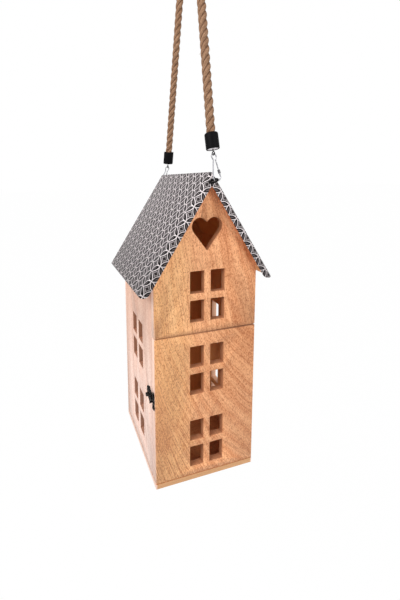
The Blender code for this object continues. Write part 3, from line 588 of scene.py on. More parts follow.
def softened(node):
    """A copy of a CAD board in the frame, with its long sharp edges rounded."""
    source = frame["nodes"][node]
    work = bmesh.new()
    work.from_mesh(source.data)
    work.transform(source.matrix_world)
    bmesh.ops.remove_doubles(work, verts=work.verts, dist=TOUCHING)
    bmesh.ops.dissolve_limit(work, angle_limit=radians(1), verts=work.verts, edges=work.edges)
    edges = []
    for edge in work.edges:
        if len(edge.link_faces) == 2 and edge.calc_length() > SHORTEST_EDGE * MM:
            if edge.calc_face_angle(0) > radians(SHARP_EDGE) and not near_fittings(edge):
                edges.append(edge)
    width = EDGE_ROUNDING * MM
    bmesh.ops.bevel(work, geom=edges, offset=width, segments=2, affect="EDGES", clamp_overlap=False)
    return meshed(work, node, 35)


WOODS = {
    "left_wall": side_wood, "right_wall": side_wood, "back_panel": plain_wood, "gable_panel": front_wood,
    "base_board": base_wood, "door": front_wood,
}
for board, finish in WOODS.items():
    piece(f"{board}_softened", softened(board), board, finish=finish)
dress(plain_wood, "ridge_beam")
print("boards softened:", len(WOODS))

# %% [markdown]
# The roof is one tin sheet. Its print is unrolled on it like paper: one coordinate runs down each slope
# from the ridge, the other from front to back and on over the folds, both in millimetres. The inside of the
# sheet has no print but a brown lacquer, which shows through the heart.

# %% Roof sheet
RIDGE_HEIGHT, PITCH = 431.8, radians(57.4)
EAVES_OUT, GABLE_OUT = (21.8, 17), 11
FLANGE, FLANGE_CORNER, FOLD_RADIUS, FOLD_MARGIN = 10, 9.5, 3.5, 1.1
RIDGE_RADIUS, TIGHTEST_RIDGE, SHEET = 2.2, 0.5, 1


def roof_rows(steps=12, bends=8):
    """Rows from the front hem of the sheet to the back one. Each is a drop below its face and a depth."""
    end = DEPTH / 2 + GABLE_OUT
    drops = [FLANGE - FLANGE_CORNER + FLANGE_CORNER * down for _, down in reversed(quarter(steps))]
    rows = [(drop, end) for drop in drops if drop > FOLD_RADIUS * FOLD_MARGIN]
    rows += [(FOLD_RADIUS * (1 - over), end - FOLD_RADIUS * (1 - out)) for out, over in quarter(bends)]
    return [(drop, -y) for drop, y in rows] + [(drop, y) for drop, y in reversed(rows)]


def roof_section(drop, arc_steps=10):
    """One row's points from the left eave to the right one, each with its distance down the slope."""
    past = max(0.0, drop - (FLANGE - FLANGE_CORNER))
    back = FLANGE_CORNER - sqrt(max(0.0, FLANGE_CORNER**2 - past**2))
    radius = max(RIDGE_RADIUS - drop, TIGHTEST_RIDGE)
    middle = RIDGE_HEIGHT - (drop + radius) / cos(PITCH)
    ends = []
    for side, out in zip((-1, 1), EAVES_OUT):
        slope = (HALF + out) / cos(PITCH) - back
        x = slope * cos(PITCH) - drop * sin(PITCH)
        ends.append((side * x, RIDGE_HEIGHT - slope * sin(PITCH) - drop * cos(PITCH), slope))
    ridge = []
    for i in range(arc_steps + 1):
        turn = PITCH * (2 * i / arc_steps - 1)
        far = abs(turn / PITCH) * radius * tan(PITCH)
        ridge.append((radius * sin(turn), middle + radius * cos(turn), far + drop * tan(PITCH)))
    return [ends[0], *ridge, ends[1]]


def roof_mesh():
    rows = roof_rows()
    unrolled = [0.0]
    for (drop, y), (next_drop, next_y) in zip(rows, rows[1:]):
        unrolled.append(unrolled[-1] + sqrt((next_drop - drop) ** 2 + (next_y - y) ** 2))
    fold = next(far for (drop, _), far in zip(rows, unrolled) if drop < TOUCHING)
    ahead_of_wood = GABLE_OUT - FOLD_RADIUS
    work = bmesh.new()
    print_layer = work.loops.layers.uv.new("print")
    grid, prints = [], {}
    for (drop, y), far in zip(rows, unrolled):
        line = []
        for x, z, slope in roof_section(drop):
            vert = work.verts.new(at(x, y, z))
            prints[vert] = (slope, far - fold - ahead_of_wood)
            line.append(vert)
        grid.append(line)
    for near, far in zip(grid, grid[1:]):
        for a, b, c, d in zip(near, near[1:], far[1:], far):
            face = work.faces.new((a, b, c, d))
            for corner in face.loops:
                corner[print_layer].uv = prints[corner.vert]
    return meshed(work, "roof_sheet_printed")


flat_roof = roof_mesh()
print("rows of faces across the flat sheet:", len(roof_rows()) - 1)

# %% [markdown]
# The print is a traditional pattern of interlocking circles. They stand on every second point of a square
# grid, and each passes through the four grid points next to its middle. Folding the plane into one cell
# leaves three distances to compare. Where two circles overlap lies a petal, with a broad black rim and a
# grey heart, and what is left is a four-pointed star with a pale outline inside it.

# %% The print
CIRCLE_DOWN, CIRCLE_DEEP = 10.52, 10.3
PRINT_MIDDLE_DOWN, PRINT_MIDDLE_DEEP = 92.08, 80.1
SLOPE_FROM, SLOPE_TO = -12, -4


def make_print():
    tin = Finish("printed_tin")
    down, deep, _ = tin.parts(tin.node("UVMap", uv_map="print"))
    u = (down - PRINT_MIDDLE_DOWN) / CIRCLE_DOWN
    v = (deep - PRINT_MIDDLE_DEEP) / CIRCLE_DEEP
    along, beside = (u + v) / 2, (u - v) / 2
    a = abs(along - along.nearest())
    b = abs(beside - beside.nearest())
    inside = 1 - ((a * a + b * b) * 2).root()
    next_a = 1 - (((1 - a) * (1 - a) + b * b) * 2).root()
    next_b = 1 - ((a * a + (1 - b) * (1 - b)) * 2).root()
    overlap = next_a.most(next_b)
    petal = inside.least(overlap)
    star = overlap * -1
    line = abs(overlap).least(inside)
    crossing = abs(overlap).most(abs(inside)).fall(0.05, 0.17)
    on_slope = deep.step(SLOPE_FROM, SLOPE_TO)
    wear = tin.noise(tin.place, 0.12, 4, 0.6)
    scuffs = tin.noise((tin.x * 0.5, tin.y * 0.05, tin.z * 0.5), 1, 5, 0.7)
    edge = star.between(0.04, 0.065, 0.11, 0.14) * (1 - on_slope * 0.3)
    outline = star.between(0.15, 0.175, 0.21, 0.24) * (0.6 - on_slope * 0.3)
    lines = line.fall(0.035, 0.055) * (1 - on_slope * crossing * 0.45)
    white = paint(226, 216, 217)
    colour = tin.layers(
        tin.blend(wear.step(0.3, 0.75), paint(40, 34, 35), paint(52, 44, 45)),
        (petal.between(0.035, 0.05, 0.19, 0.225), paint(5, 4, 5)),
        (petal.step(0.2, 0.235), tin.blend(on_slope, paint(92, 82, 84), paint(72, 63, 64))),
        (edge, paint(18, 15, 16)), (outline, white), (lines, white),
        (scuffs.step(0.62, 0.8) * 0.14, paint(190, 184, 184)),
    )
    dents = tin.noise(tin.place, 0.02)
    return tin.done(colour, 0.5, tin.bump(dents, 1.2, 0.25), Specular_IOR_Level=0.2)


lining = cloudy("brown_lining", (0.06, 4, 0.6), (228, 150, 80), (238, 164, 92), 0.6, bump=(0.3, 0.3))
coat(flat_roof, make_print(), lining)
roof_solid = applied(
    flat_roof, "SOLIDIFY", thickness=SHEET * MM, offset=-1, use_even_offset=True, material_offset=1,
    material_offset_rim=0,
)
piece("roof_sheet_printed", roof_solid, "roof_sheet")
print("roof faces:", len(roof_solid.polygons))

# %% [markdown]
# Five finishes cover the metal. Old bronze is nearly black, with bright flecks scattered over it that are
# partly wear and partly painted glints. The hooks and most screws are bright steel, whose roughness wanders,
# so that no reflection is perfect. The rope's end caps and the screw eyes are black enamel. The discs in the
# caps are pale zinc, and the sleeves on the hooks' gates are duller than the wire.


# %% Metals
def make_bronze():
    bronze = Finish("dark_bronze")
    cloud = bronze.noise(bronze.place, 0.35, 4, 0.6)
    wear_and_glint = bronze.noise(bronze.place, 1.1, 3, 0.7)
    colour = bronze.blend(cloud.step(0.35, 0.7), paint(8, 6, 6), paint(22, 18, 17))
    # Bright flecks, partly wear and partly painted glints.
    colour = bronze.blend(wear_and_glint.step(0.58, 0.68) * 0.85, colour, paint(190, 182, 176))
    normal = bronze.bump(cloud + wear_and_glint * 0.5, 0.1, 0.5)
    return bronze.done(colour, 0.6, normal, Metallic=0.15, Specular_IOR_Level=0.05)


WIRE_GRAIN = (1.4, 3, 0.6)
bronze = make_bronze()
steel = cloudy("bright_wire", WIRE_GRAIN, (118, 118, 121), (160, 160, 163), (0.2, 0.34), Metallic=1.0)
sleeve_metal = cloudy("dull_sleeve", WIRE_GRAIN, (66, 64, 66), (104, 102, 104), 0.4, Metallic=0.9)
zinc = cloudy("pale_zinc", (0.5, 3), (226, 220, 226), (240, 236, 240), 0.45)
enamel = cloudy(
    "black_enamel", (0.8, 2), (7, 6, 8), (12, 11, 13), 0.52, bump=(0.06, 0.4), Specular_IOR_Level=0.05,
)
print("metals:", bronze.name, steel.name, sleeve_metal.name, zinc.name, enamel.name)

# %% [markdown]
# The rope's length and line are fixed by what it hangs over. It is one length of three-strand jute, held
# taut: out of the front cap, up over the hanging point and down into the back cap. A smooth curve goes
# through the points of the line that the CAD rope follows.

# %% The rope's line
ROPE_POINTS = [
    (-0.00991, -0.08625, -0.33421), (-0.01060, -0.08322, -0.31739), (-0.01017, -0.07677, -0.28162),
    (-0.00916, -0.06174, -0.19815), (-0.00808, -0.04563, -0.10872), (-0.00729, -0.03382, -0.04313),
    (-0.00700, -0.02952, -0.01928), (-0.00467, -0.02403, -0.00664), (-0.00233, -0.01345, 0.00222),
    (0.00000, -0.00003, 0.00540), (0.00233, 0.01339, 0.00225), (0.00467, 0.02399, -0.00658),
    (0.00700, 0.02951, -0.01922), (0.00664, 0.03398, -0.04368), (0.00564, 0.04625, -0.11096),
    (0.00428, 0.06298, -0.20271), (0.00301, 0.07860, -0.28834), (0.00246, 0.08529, -0.32503),
    (0.00221, 0.08836, -0.34185),
]
ROPE_RADIUS = 5.4


def smooth_line(points, spacing):
    """Points along a smooth curve through the given ones, about as far apart as the spacing."""
    points = [Vector(point) for point in points]
    padded = [2 * points[0] - points[1], *points, 2 * points[-1] - points[-2]]
    line = [points[0]]
    for a, b, c, d in zip(padded, padded[1:], padded[2:], padded[3:]):
        count = max(1, round((c - b).length / spacing))
        for i in range(1, count + 1):
            t = i / count
            cubic = (2 * a - 5 * b + 4 * c - d) * t**2 + (3 * b - a - 3 * c + d) * t**3
            line.append(0.5 * (2 * b + (c - a) * t + cubic))
    return line


rope_line = smooth_line(ROPE_POINTS, 2.5 * MM)

# %% [markdown]
# Everything bent from wire comes from one geometry tree. It sweeps a round section along whatever lines it is
# given, so a closed loop of points becomes a ring and an open one a rod with closed ends.


# %% Wire
def line_mesh(name, *lines):
    """Lines of points as edges. A line that ends on its own first point is closed."""
    points, edges = [], []
    for line in lines:
        start = len(points)
        closed = (Vector(line[0]) - Vector(line[-1])).length < TOUCHING
        count = len(line) - 1 if closed else len(line)
        points += [tuple(point) for point in line[:count]]
        edges += [(start + i, start + i + 1) for i in range(count - 1)]
        if closed:
            edges.append((start + count - 1, start))
    return plain_mesh(name, points, edges)


def make_wire_shape():
    shape = Shape("round_wire")
    radius = shape.size("Radius")
    sides = shape.size("Sides", "NodeSocketInt")
    curve = shape.node("MeshToCurve", shape.given())
    return shape.finish(shape.swept(curve, shape.circle(sides, radius)))


wire_shape = make_wire_shape()


def wire(name, radius, finish, place, *lines, sides=16):
    """Wire bent along lines of points in millimetres, which a matrix puts in their place."""
    mesh = line_mesh(name, *[[place @ (point * MM) for point in line] for line in lines])
    return wire_shape.run(name, mesh, Radius=radius * MM, Sides=sides, Material=finish)


def arc(middle, radius, start, stop, steps, first, second):
    """Points on an arc in the plane of two directions."""
    turns = [start + (stop - start) * i / steps for i in range(steps + 1)]
    return [middle + first * (radius * cos(turn)) + second * (radius * sin(turn)) for turn in turns]


print("wire tree:", wire_shape.tree.name)

# %% [markdown]
# A black screw eye stands out of each gable, just under the ridge. Its ring is turned so that the right
# side is the high one, which is where the snap hook settles. The shank goes on through the wood into the
# ridge beam.

# %% Screw eyes
CLEAR = 0.3
EYE_WIRE, EYE_RADIUS, EYE_NECK, EYE_BITE, EYE_ASIDE = 2.6, 5, 2, 21, -1.7
EYE_TILT, EYE_DROOP, EYE_PLAY = radians(27), radians(8), 0.12
EYE_HEIGHTS = {"front": 418.8, "back": 412.2}
EYE_OUT = DEPTH / 2 + GABLE_OUT + 2 * CLEAR + EYE_WIRE / 2 + EYE_RADIUS


def eye_frame(side, end):
    """The ring's own directions at its middle. End is -1 in front and 1 at the back."""
    turn = Matrix.Rotation(-end * EYE_DROOP, 4, "X") @ Matrix.Rotation(-EYE_TILT, 4, "Y")
    return Matrix.Translation(at(EYE_ASIDE, end * EYE_OUT, EYE_HEIGHTS[side])) @ turn


for side, end in SIDES:
    name = f"{side}_screw_eye"
    ring = arc(Vector(), EYE_RADIUS, 0, 2 * pi, 64, X, Y)
    stem = [Y * (-end * far) for far in (EYE_RADIUS, EYE_RADIUS + EYE_NECK, EYE_OUT - DEPTH / 2 + EYE_BITE)]
    bent = wire(name, EYE_WIRE / 2 - EYE_PLAY, enamel, eye_frame(side, end), ring, stem, sides=20)
    piece(f"{name}_bent", bent, name)
print("screw eyes: 2")

# %% [markdown]
# Each snap hook is one bent wire: a wide bend below that hangs in the screw eye, two legs that draw
# together to a waist, and a small loop on top for the swivel. A sprung length of the same wire closes it as
# a gate. The hook's line is worked out again here from the same sizes, with finer steps in the bends.

# %% Snap hooks
HOOK_WIRE, HOOK_LENGTH, HOOK_BEND, HOOK_LOOP = 1.5, 31.2, 5, 3.1
HOOK_WAIST, HOOK_WAIST_DROP, NOSE_HEIGHT, GATE_END_HEIGHT, GATE_GAP = 3.2, 8.2, 7.5, 9.6, 1.6 * CLEAR
HOOK_LEANS = {"front": (-4.3, 10), "back": (17.5, 6.3)}
HOOK_SHOULDER, THROAT_SHARES = radians(30), (0.2, 0.35, 0.5, 0.65, 0.8)
BEND_HEIGHT = HOOK_BEND - (EYE_WIRE / 2 + HOOK_WIRE / 2 + CLEAR)
LOOP_HEIGHT = HOOK_LENGTH - HOOK_LOOP
WAIST_HEIGHT = HOOK_LENGTH - HOOK_WAIST_DROP


def hook_frame(side, end):
    """Z runs up the hook from the middle of the screw eye's wire, and X lies in the hook's plane."""
    aside, inwards = HOOK_LEANS[side]
    rise = Vector((tan(radians(aside)), -end * tan(radians(inwards)), 1)).normalized()
    across = (X - rise * X.dot(rise)).normalized()
    turn = Matrix((across, rise.cross(across), rise)).transposed().to_4x4()
    return Matrix.Translation(eye_frame(side, end) @ (X * EYE_RADIUS * MM)) @ turn


def hook_leg(z, side):
    """A point on one straight leg of the hook, at a height above the screw eye's wire."""
    share = (WAIST_HEIGHT - z) / (WAIST_HEIGHT - BEND_HEIGHT)
    return Vector((side * (HOOK_WAIST / 2 + share * (HOOK_BEND - HOOK_WAIST / 2)), 0, z))


def hook_line():
    shoulder_x = HOOK_LOOP * cos(HOOK_SHOULDER)
    shoulder_z = LOOP_HEIGHT - HOOK_LOOP * sin(HOOK_SHOULDER)
    throat = []
    for share in THROAT_SHARES:
        wide = HOOK_WAIST / 2 + (shoulder_x - HOOK_WAIST / 2) * (1 - sin(pi / 2 * share))
        throat.append(Vector((wide, 0, shoulder_z + (WAIST_HEIGHT - shoulder_z) * share)))
    mirrored = [Vector((-point.x, 0, point.z)) for point in reversed(throat)]
    bend = arc(Z * BEND_HEIGHT, HOOK_BEND, 0, -pi, 24, X, Z)
    loop = arc(Z * LOOP_HEIGHT, HOOK_LOOP, pi + HOOK_SHOULDER, -HOOK_SHOULDER, 28, X, Z)
    return [
        hook_leg(NOSE_HEIGHT, 1), *bend, hook_leg(WAIST_HEIGHT, -1), *mirrored, *loop, *throat,
        hook_leg(WAIST_HEIGHT, 1), hook_leg(WAIST_HEIGHT - HOOK_WIRE, 1),
    ]


def gate_line():
    top = hook_leg(WAIST_HEIGHT - HOOK_WIRE - GATE_GAP, 1)
    low = hook_leg(GATE_END_HEIGHT, 1)
    return [top, (top + low) / 2, low]


for side, end in SIDES:
    for name, line in ((f"{side}_snap_hook", hook_line()), (f"{side}_snap_gate", gate_line())):
        piece(f"{name}_bent", wire(name, HOOK_WIRE / 2, steel, hook_frame(side, end), line), name)
dress(sleeve_metal, "front_gate_sleeve", "back_gate_sleeve")
print("snap hooks: 2, with", len(hook_line()), "points in each line")

# %% [markdown]
# The rope ends in turned black caps. A pale disc closes each cap below, and a small swivel ring hangs from
# it. The swivel joints of the frame give each cap's place and direction.

# %% Rope ends
CAP_RADIUS, CAP_HEIGHT, CAP_WALL, CAP_ROUNDING, CAP_EDGE, CAP_LIP = 8.2, 20.5, 1.2, 2.4, 0.5, 2
CHAMFER = 0.3
DISC_LOW, DISC_TOP, DISC_RADIUS = 0.5, 1.9, CAP_RADIUS - CAP_WALL - CLEAR
SWIVEL_WIRE, SWIVEL_RADIUS, SWIVEL_NECK, SWIVEL_BUTTON = 1.2, 2.1, 2.3, 0.9
SWIVEL_DROP = SWIVEL_NECK + SWIVEL_WIRE / 2 + SWIVEL_RADIUS
joints = {joint["name"]: joint for joint in record["behaviour"]["joints"]}


def turned(name, profile, place, steps=64):
    """A mesh of revolution from (radius, height) points in millimetres, round the Z axis of a matrix."""
    half = line_mesh(name, [(r * MM, 0, z * MM) for r, z in profile])
    whole = applied(
        half, "SCREW", steps=steps, render_steps=steps, use_merge_vertices=True, merge_threshold=MM / 100,
    )
    whole.transform(place)
    work = bmesh.new()
    work.from_mesh(whole)
    bmesh.ops.recalc_face_normals(work, faces=work.faces)
    return meshed(work, name)


def rounded(radius, height, rounding, upwards, tall=1.0):
    """Points on a quarter round at a turned part's outer corner, outwards at the top and inwards below."""
    fall = upwards * rounding * tall
    points = [(radius - rounding * (1 - s), height - fall * (1 - c)) for c, s in quarter(6)]
    return points if upwards > 0 else points[::-1]


def cap_profile(rounded_up):
    """A cap's section. One cap is rounded above, and the other below, as far as its wall allows."""
    upper, lower = (CAP_ROUNDING, CAP_EDGE) if rounded_up else (CAP_EDGE, CAP_WALL - CHAMFER)
    inner, throat = CAP_RADIUS - CAP_WALL, ROPE_RADIUS + CLEAR
    return [
        (throat, CAP_HEIGHT), *rounded(CAP_RADIUS, CAP_HEIGHT, upper, 1),
        *rounded(CAP_RADIUS, 0, lower, -1, 2.6), (inner, 0), (inner, CAP_HEIGHT - CAP_LIP),
        (throat, CAP_HEIGHT - CAP_LIP), (throat, CAP_HEIGHT),
    ]


def upright(point, direction):
    turn = Vector(direction).to_track_quat("Z", "Y").to_matrix().to_4x4()
    return Matrix.Translation(point) @ turn


hole = SWIVEL_WIRE / 2 + CLEAR
disc_profile = [
    (hole, DISC_LOW), (DISC_RADIUS - CHAMFER, DISC_LOW), (DISC_RADIUS, DISC_LOW + CHAMFER),
    (DISC_RADIUS, DISC_TOP), (hole, DISC_TOP), (hole, DISC_LOW),
]
button = [Z * (DISC_TOP + CLEAR), Z * (DISC_TOP + CLEAR + SWIVEL_BUTTON)]
swivel_ring = arc(Z * -SWIVEL_DROP, SWIVEL_RADIUS, 0, 2 * pi, 40, Y, Z)
swivel_stem = [Z * (SWIVEL_RADIUS - SWIVEL_DROP), Vector(), button[1]]
for side, _ in SIDES:
    joint = joints[f"{side}_swivel"]
    place = upright(Vector(joint["pos_m"]), joint["axis"])
    cap = turned(f"{side}_end_cap", cap_profile(side == "front"), place)
    piece(f"{side}_end_cap_turned", cap, f"{side}_end_cap", finish=enamel)
    disc = turned(f"{side}_cap_disc", disc_profile, place)
    piece(f"{side}_cap_disc_turned", disc, f"{side}_cap_disc", finish=zinc)
    ring = wire(f"{side}_swivel", SWIVEL_WIRE / 2, bronze, place, swivel_ring, swivel_stem)
    head = wire(f"{side}_button", SWIVEL_WIRE, bronze, place, button)
    swivel = joined(f"{side}_swivel_eye", ring, head)
    piece(f"{side}_swivel_eye_bent", swivel, f"{side}_swivel_eye", finish=bronze)
print("rope ends: 2")

# %% [markdown]
# The latch has a lobed rosette on the wall with a hook that turns on it, and a scalloped plate with a stud on
# the door. Both plates are thin castings with a raised rim and a raised pattern, and here a grid of points
# follows a height formula. Nothing stands higher than the CAD plates, so the hook still clears them.

# %% Latch plates
LATCH_HEIGHT, STUD_SET_BACK, STUD_RADIUS = 128.5, 4.6, 1.1
PLATE_THICK, PLATE_GROUND = 1, 0.6
ROSETTE_RADIUS, ROSETTE_LOBE, CATCH_WIDTH, CATCH_HEIGHT = 9.8, 1.2, 7.6, 25
LATCH_SET_BACK = BOARD + 2 * CLEAR + ROSETTE_RADIUS + ROSETTE_LOBE
pivot_y, stud_y = FRONT + LATCH_SET_BACK, FRONT + STUD_SET_BACK


def casting(name, middle_y, rows, columns, spot, raised, cyclic):
    """A thin plate on the left wall, on a grid of shares from 0 to 1.

    Spot tells how far behind the middle and how far up a point lies, and raised how high it stands.
    """
    work = bmesh.new()
    count = rows if cyclic else rows + 1
    grids = []
    for ground, relief in ((PLATE_GROUND, 1 - PLATE_GROUND), (0, 0)):
        grid = []
        for i in range(count):
            line = []
            for j in range(columns + 1):
                y, z = spot(i / rows, j / columns)
                out = CLEAR + PLATE_THICK * (ground + relief * raised(i / rows, j / columns))
                line.append(work.verts.new(at(-HALF - out, middle_y + y, LATCH_HEIGHT + z)))
            grid.append(line)
        grids.append(grid)
    top, low = grids
    for i in range(rows):
        k = (i + 1) % count
        for j in range(columns):
            for grid in grids:
                work.faces.new((grid[i][j], grid[i][j + 1], grid[k][j + 1], grid[k][j]))
        for j in (0, columns):
            work.faces.new((top[i][j], top[k][j], low[k][j], low[i][j]))
    if not cyclic:
        for i in (0, rows):
            for j in range(columns):
                work.faces.new((top[i][j], top[i][j + 1], low[i][j + 1], low[i][j]))
    bmesh.ops.recalc_face_normals(work, faces=work.faces)
    return meshed(work, name, 50)


def ridge(value, middle, width):
    """1 in the middle, falling in a straight line to 0 at the given width on either side."""
    return max(0, 1 - abs(value - middle) / width)


def rosette_spot(turn, share):
    far = STUD_RADIUS + CLEAR
    edge = ROSETTE_RADIUS + ROSETTE_LOBE * (0.45 + 0.55 * cos(16 * pi * turn))
    radius = far + (edge - far) * share
    return radius * cos(2 * pi * turn), radius * sin(2 * pi * turn)


def rosette_raised(turn, share):
    petal = abs(cos(8 * pi * turn)) * sin(pi * min(1, max(0, (share - 0.2) / 0.62)))
    flat = 1 if share < 0.18 else 0
    return max(petal, ridge(share, 0.93, 0.07), flat)


def catch_spot(share, across):
    along = 2 * share - 1
    wide = CATCH_WIDTH / 2 * (0.86 + 0.14 * cos(3 * pi * along)) * (1 - 0.35 * along**8)
    return (2 * across - 1) * wide, along * CATCH_HEIGHT / 2


def catch_raised(share, across):
    aside = abs(2 * across - 1)
    return max(ridge(aside, 0.85, 0.15), abs(sin(6 * pi * share)) * ridge(aside, 0, 0.7))


rosette = casting("latch_plate", pivot_y, 128, 14, rosette_spot, rosette_raised, True)
catch = casting("catch_plate", stud_y, 72, 16, catch_spot, catch_raised, False)
piece("latch_plate_cast", rosette, "latch_plate", finish=bronze)
piece("catch_plate_cast", catch, "catch_plate", finish=bronze)
print("latch plates, faces:", len(rosette.polygons), len(catch.polygons))

# %% [markdown]
# The latch's hook is a bent arm with a flat hub at one end and a small ball for the thumb over the other.
# It stands off the plates by the height of their screws. At rest it is lifted a little from its stud, so
# that the door can swing without it. The rivet in the hub and the stud on the door are turned, with domed
# heads.

# %% Latch hook
LATCH_ARM_RADIUS, LATCH_LIFT, HUB_RADIUS, HUB_PROUD = 1.15, radians(13), 2.6, 0.2
THUMB_RADIUS, THUMB_OUT = 1.6, 0.45
RIVET_HEAD, STUD_HEAD_RADIUS, STUD_ROOT, STUD_TIP = 0.7, 1.7, -4, -5
SCREW_HEAD_RADIUS, SCREW_HEAD_HEIGHT = 1.6, 0.8
plate_x = -HALF - CLEAR - PLATE_THICK
arm_x = plate_x - 2 * CLEAR - SCREW_HEAD_HEIGHT - LATCH_ARM_RADIUS
hub_x = arm_x - LATCH_ARM_RADIUS - HUB_PROUD
reach = LATCH_SET_BACK - STUD_SET_BACK
curl = STUD_RADIUS + CLEAR + LATCH_ARM_RADIUS
bore = STUD_RADIUS + CLEAR

pivot = Matrix.Translation(at(arm_x, pivot_y, LATCH_HEIGHT)) @ Matrix.Rotation(-LATCH_LIFT, 4, "X")
route = [Vector(), Y * (-0.35 * reach) + Z * (0.6 * curl), Y * (-0.75 * reach) + Z * (0.98 * curl)]
arm_line = smooth_line(route, 0.6) + arc(Y * -reach, curl, radians(92), radians(190), 16, Y, Z)
arm = wire("latch_arm", LATCH_ARM_RADIUS, bronze, pivot, arm_line)
low, high = arm_x - (plate_x - CLEAR), arm_x - hub_x
hub_profile = [
    (bore, low), (HUB_RADIUS, low), (HUB_RADIUS, high - CHAMFER), (HUB_RADIUS - CHAMFER, high), (bore, high),
    (bore, low),
]
hub = turned("latch_hub", hub_profile, pivot @ Matrix.Rotation(-pi / 2, 4, "Y"), steps=32)
ball = [(THUMB_RADIUS * sin(pi * i / 12), -THUMB_RADIUS * cos(pi * i / 12)) for i in range(12)]
thumb_place = pivot @ Matrix.Translation(Vector((-THUMB_OUT, -reach, curl + THUMB_RADIUS)) * MM)
thumb = turned("latch_thumb", [*ball, (0, THUMB_RADIUS)], thumb_place, steps=24)
piece("latch_hook_bent", joined("latch_hook", arm, hub, thumb), "latch_hook", finish=bronze)

stud_top = -hub_x - HALF + CLEAR
for name, y, head in (("latch_rivet", pivot_y, HUB_RADIUS), ("catch_stud", stud_y, STUD_HEAD_RADIUS)):
    dome = [(head * c, stud_top + RIVET_HEAD * s) for c, s in quarter(8)[:-1]]
    foot = [(0, STUD_TIP), (STUD_RADIUS, STUD_ROOT), (STUD_RADIUS, stud_top)]
    place = upright(at(-HALF, y, LATCH_HEIGHT), (-1, 0, 0))
    mesh = turned(name, [*foot, *dome, (0, stud_top + RIVET_HEAD)], place, steps=32)
    piece(f"{name}_turned", mesh, name, finish=bronze)
for hinge in ("lower", "upper"):
    dress(bronze, *[f"{hinge}_hinge_{part}" for part in ("pin", "wall_leaf", "door_leaf")])
print("latch arm:", len(arm_line), "points")

# %% [markdown]
# The screws repeat, so a geometry tree sets them. It stands one screw on each point of a small mesh, facing
# the way that the point's own arrow tells, and turns each to its own angle, as a hand leaves them. The heads
# are domed or flat, with a cross slot cut in.

# %% Screws
SCREW_SIZES = ("Head radius", "Dome height", "Sunk depth", "Shank radius", "Shank length", "Slot width")
HINGE_SCREW = (1.4, 0.02, 0.7, 0.7, 6.3, 0.4)
BASE_SCREW = (3, 0.02, 1.6, 1.4, 20.4, 0.8)
PLATE_SCREW = (SCREW_HEAD_RADIUS, SCREW_HEAD_HEIGHT, 0.1, 0.7, 6.4, 0.45)
SLOT_REACH, SLOT_SUNK, SLOT_RAISED = 1.5, 0.6, 0.3


def make_screw_shape():
    shape = Shape("slotted_screw")
    head, high, sunk, shank, length, slot = shape.sizes(*SCREW_SIZES)

    def lifted(part, height):
        return shape.node("Transform", part, Translation=shape.vector(0.0, 0.0, height))

    def cut_from(solid, cutter):
        return shape.node("MeshBoolean", operation="DIFFERENCE", solver="EXACT", Mesh_1=solid, Mesh_2=cutter)

    ball = shape.node("MeshUVSphere", Segments=32, Rings=16, Radius=head)
    ball = shape.node("Transform", ball, Scale=shape.vector(1.0, 1.0, high / head))
    below = lifted(shape.node("MeshCube", Size=shape.vector(head * 3, head * 3, head * 4)), head * -2)
    dome = cut_from(ball, below)
    cone = shape.node("MeshCone", Vertices=32, Radius_Top=head, Radius_Bottom=shank, Depth=sunk)
    cone = lifted(cone, sunk * -1)
    for long, wide in ((head * SLOT_REACH, slot), (slot, head * SLOT_REACH)):
        bar = shape.node("MeshCube", Size=shape.vector(long, wide, high + sunk * SLOT_SUNK))
        bar = lifted(bar, (high - sunk * SLOT_SUNK) / 2 + high * SLOT_RAISED)
        dome = cut_from(dome, bar)
        cone = cut_from(cone, bar)
    stem = shape.node("MeshCylinder", Vertices=16, Radius=shank, Depth=length)
    whole = shape.node("JoinGeometry", [dome, cone, lifted(stem, length / -2 - sunk)])
    arrow = shape.node("InputNamedAttribute", data_type="FLOAT_VECTOR", Name="out")
    facing = shape.node("FunctionNodeAlignRotationToVector", axis="Z", Vector=arrow)
    turn = shape.node("FunctionNodeRandomValue", None, None, 0.0, pi, out=1, data_type="FLOAT")
    spin = shape.node("FunctionNodeEulerToRotation", shape.vector(0.0, 0.0, turn))
    facing = shape.node("FunctionNodeRotateRotation", facing, spin, rotation_space="LOCAL")
    return shape.finish(shape.node("InstanceOnPoints", Points=shape.given(), Instance=whole, Rotation=facing))


def seats(name, out, above, nodes):
    """A mesh with one point on each CAD screw's seat, and the way that the screw faces."""
    points = []
    for node in nodes:
        low, high = (Vector(corner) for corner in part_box(node))
        half = (high - low) / 2
        far = abs(out.x) * half.x + abs(out.y) * half.y + abs(out.z) * half.z
        points.append(tuple((low + high) / 2 + out * (far - above * MM)))
    mesh = plain_mesh(name, points)
    for item in mesh.attributes.new("out", "FLOAT_VECTOR", "POINT").data:
        item.vector = out
    return mesh


screw_shape = make_screw_shape()
for kind, finish, out, sizes in (
    ("wall_leaf_screw", steel, -Y, HINGE_SCREW), ("door_leaf_screw", steel, Y, HINGE_SCREW),
    ("base_screw", steel, -Z, BASE_SCREW), ("latch_plate_screw", bronze, -X, PLATE_SCREW),
    ("catch_plate_screw", bronze, -X, PLATE_SCREW),
):
    nodes = sorted(node for node in frame["nodes"] if kind in node)
    lengths = {label: size * MM for label, size in zip(SCREW_SIZES, sizes)}
    source = seats(f"{kind}s", out, sizes[SCREW_SIZES.index("Dome height")], nodes)
    mesh = screw_shape.run(f"{kind}s", source, Material=finish, **lengths)
    piece(f"{kind}s_slotted", mesh, *nodes)
    print(f"{kind}s:", len(nodes), "with", len(mesh.polygons), "faces")

# %% [markdown]
# Jute is a coarse, dry fibre. On a laid rope the yarns of each strand lie nearly along the rope, so the
# colour streaks are stretched that way. The grooves between the strands hold dust and shade and are darker.
# The rope's surface tells the shader how far along it is, how far round, and how high on its strand.


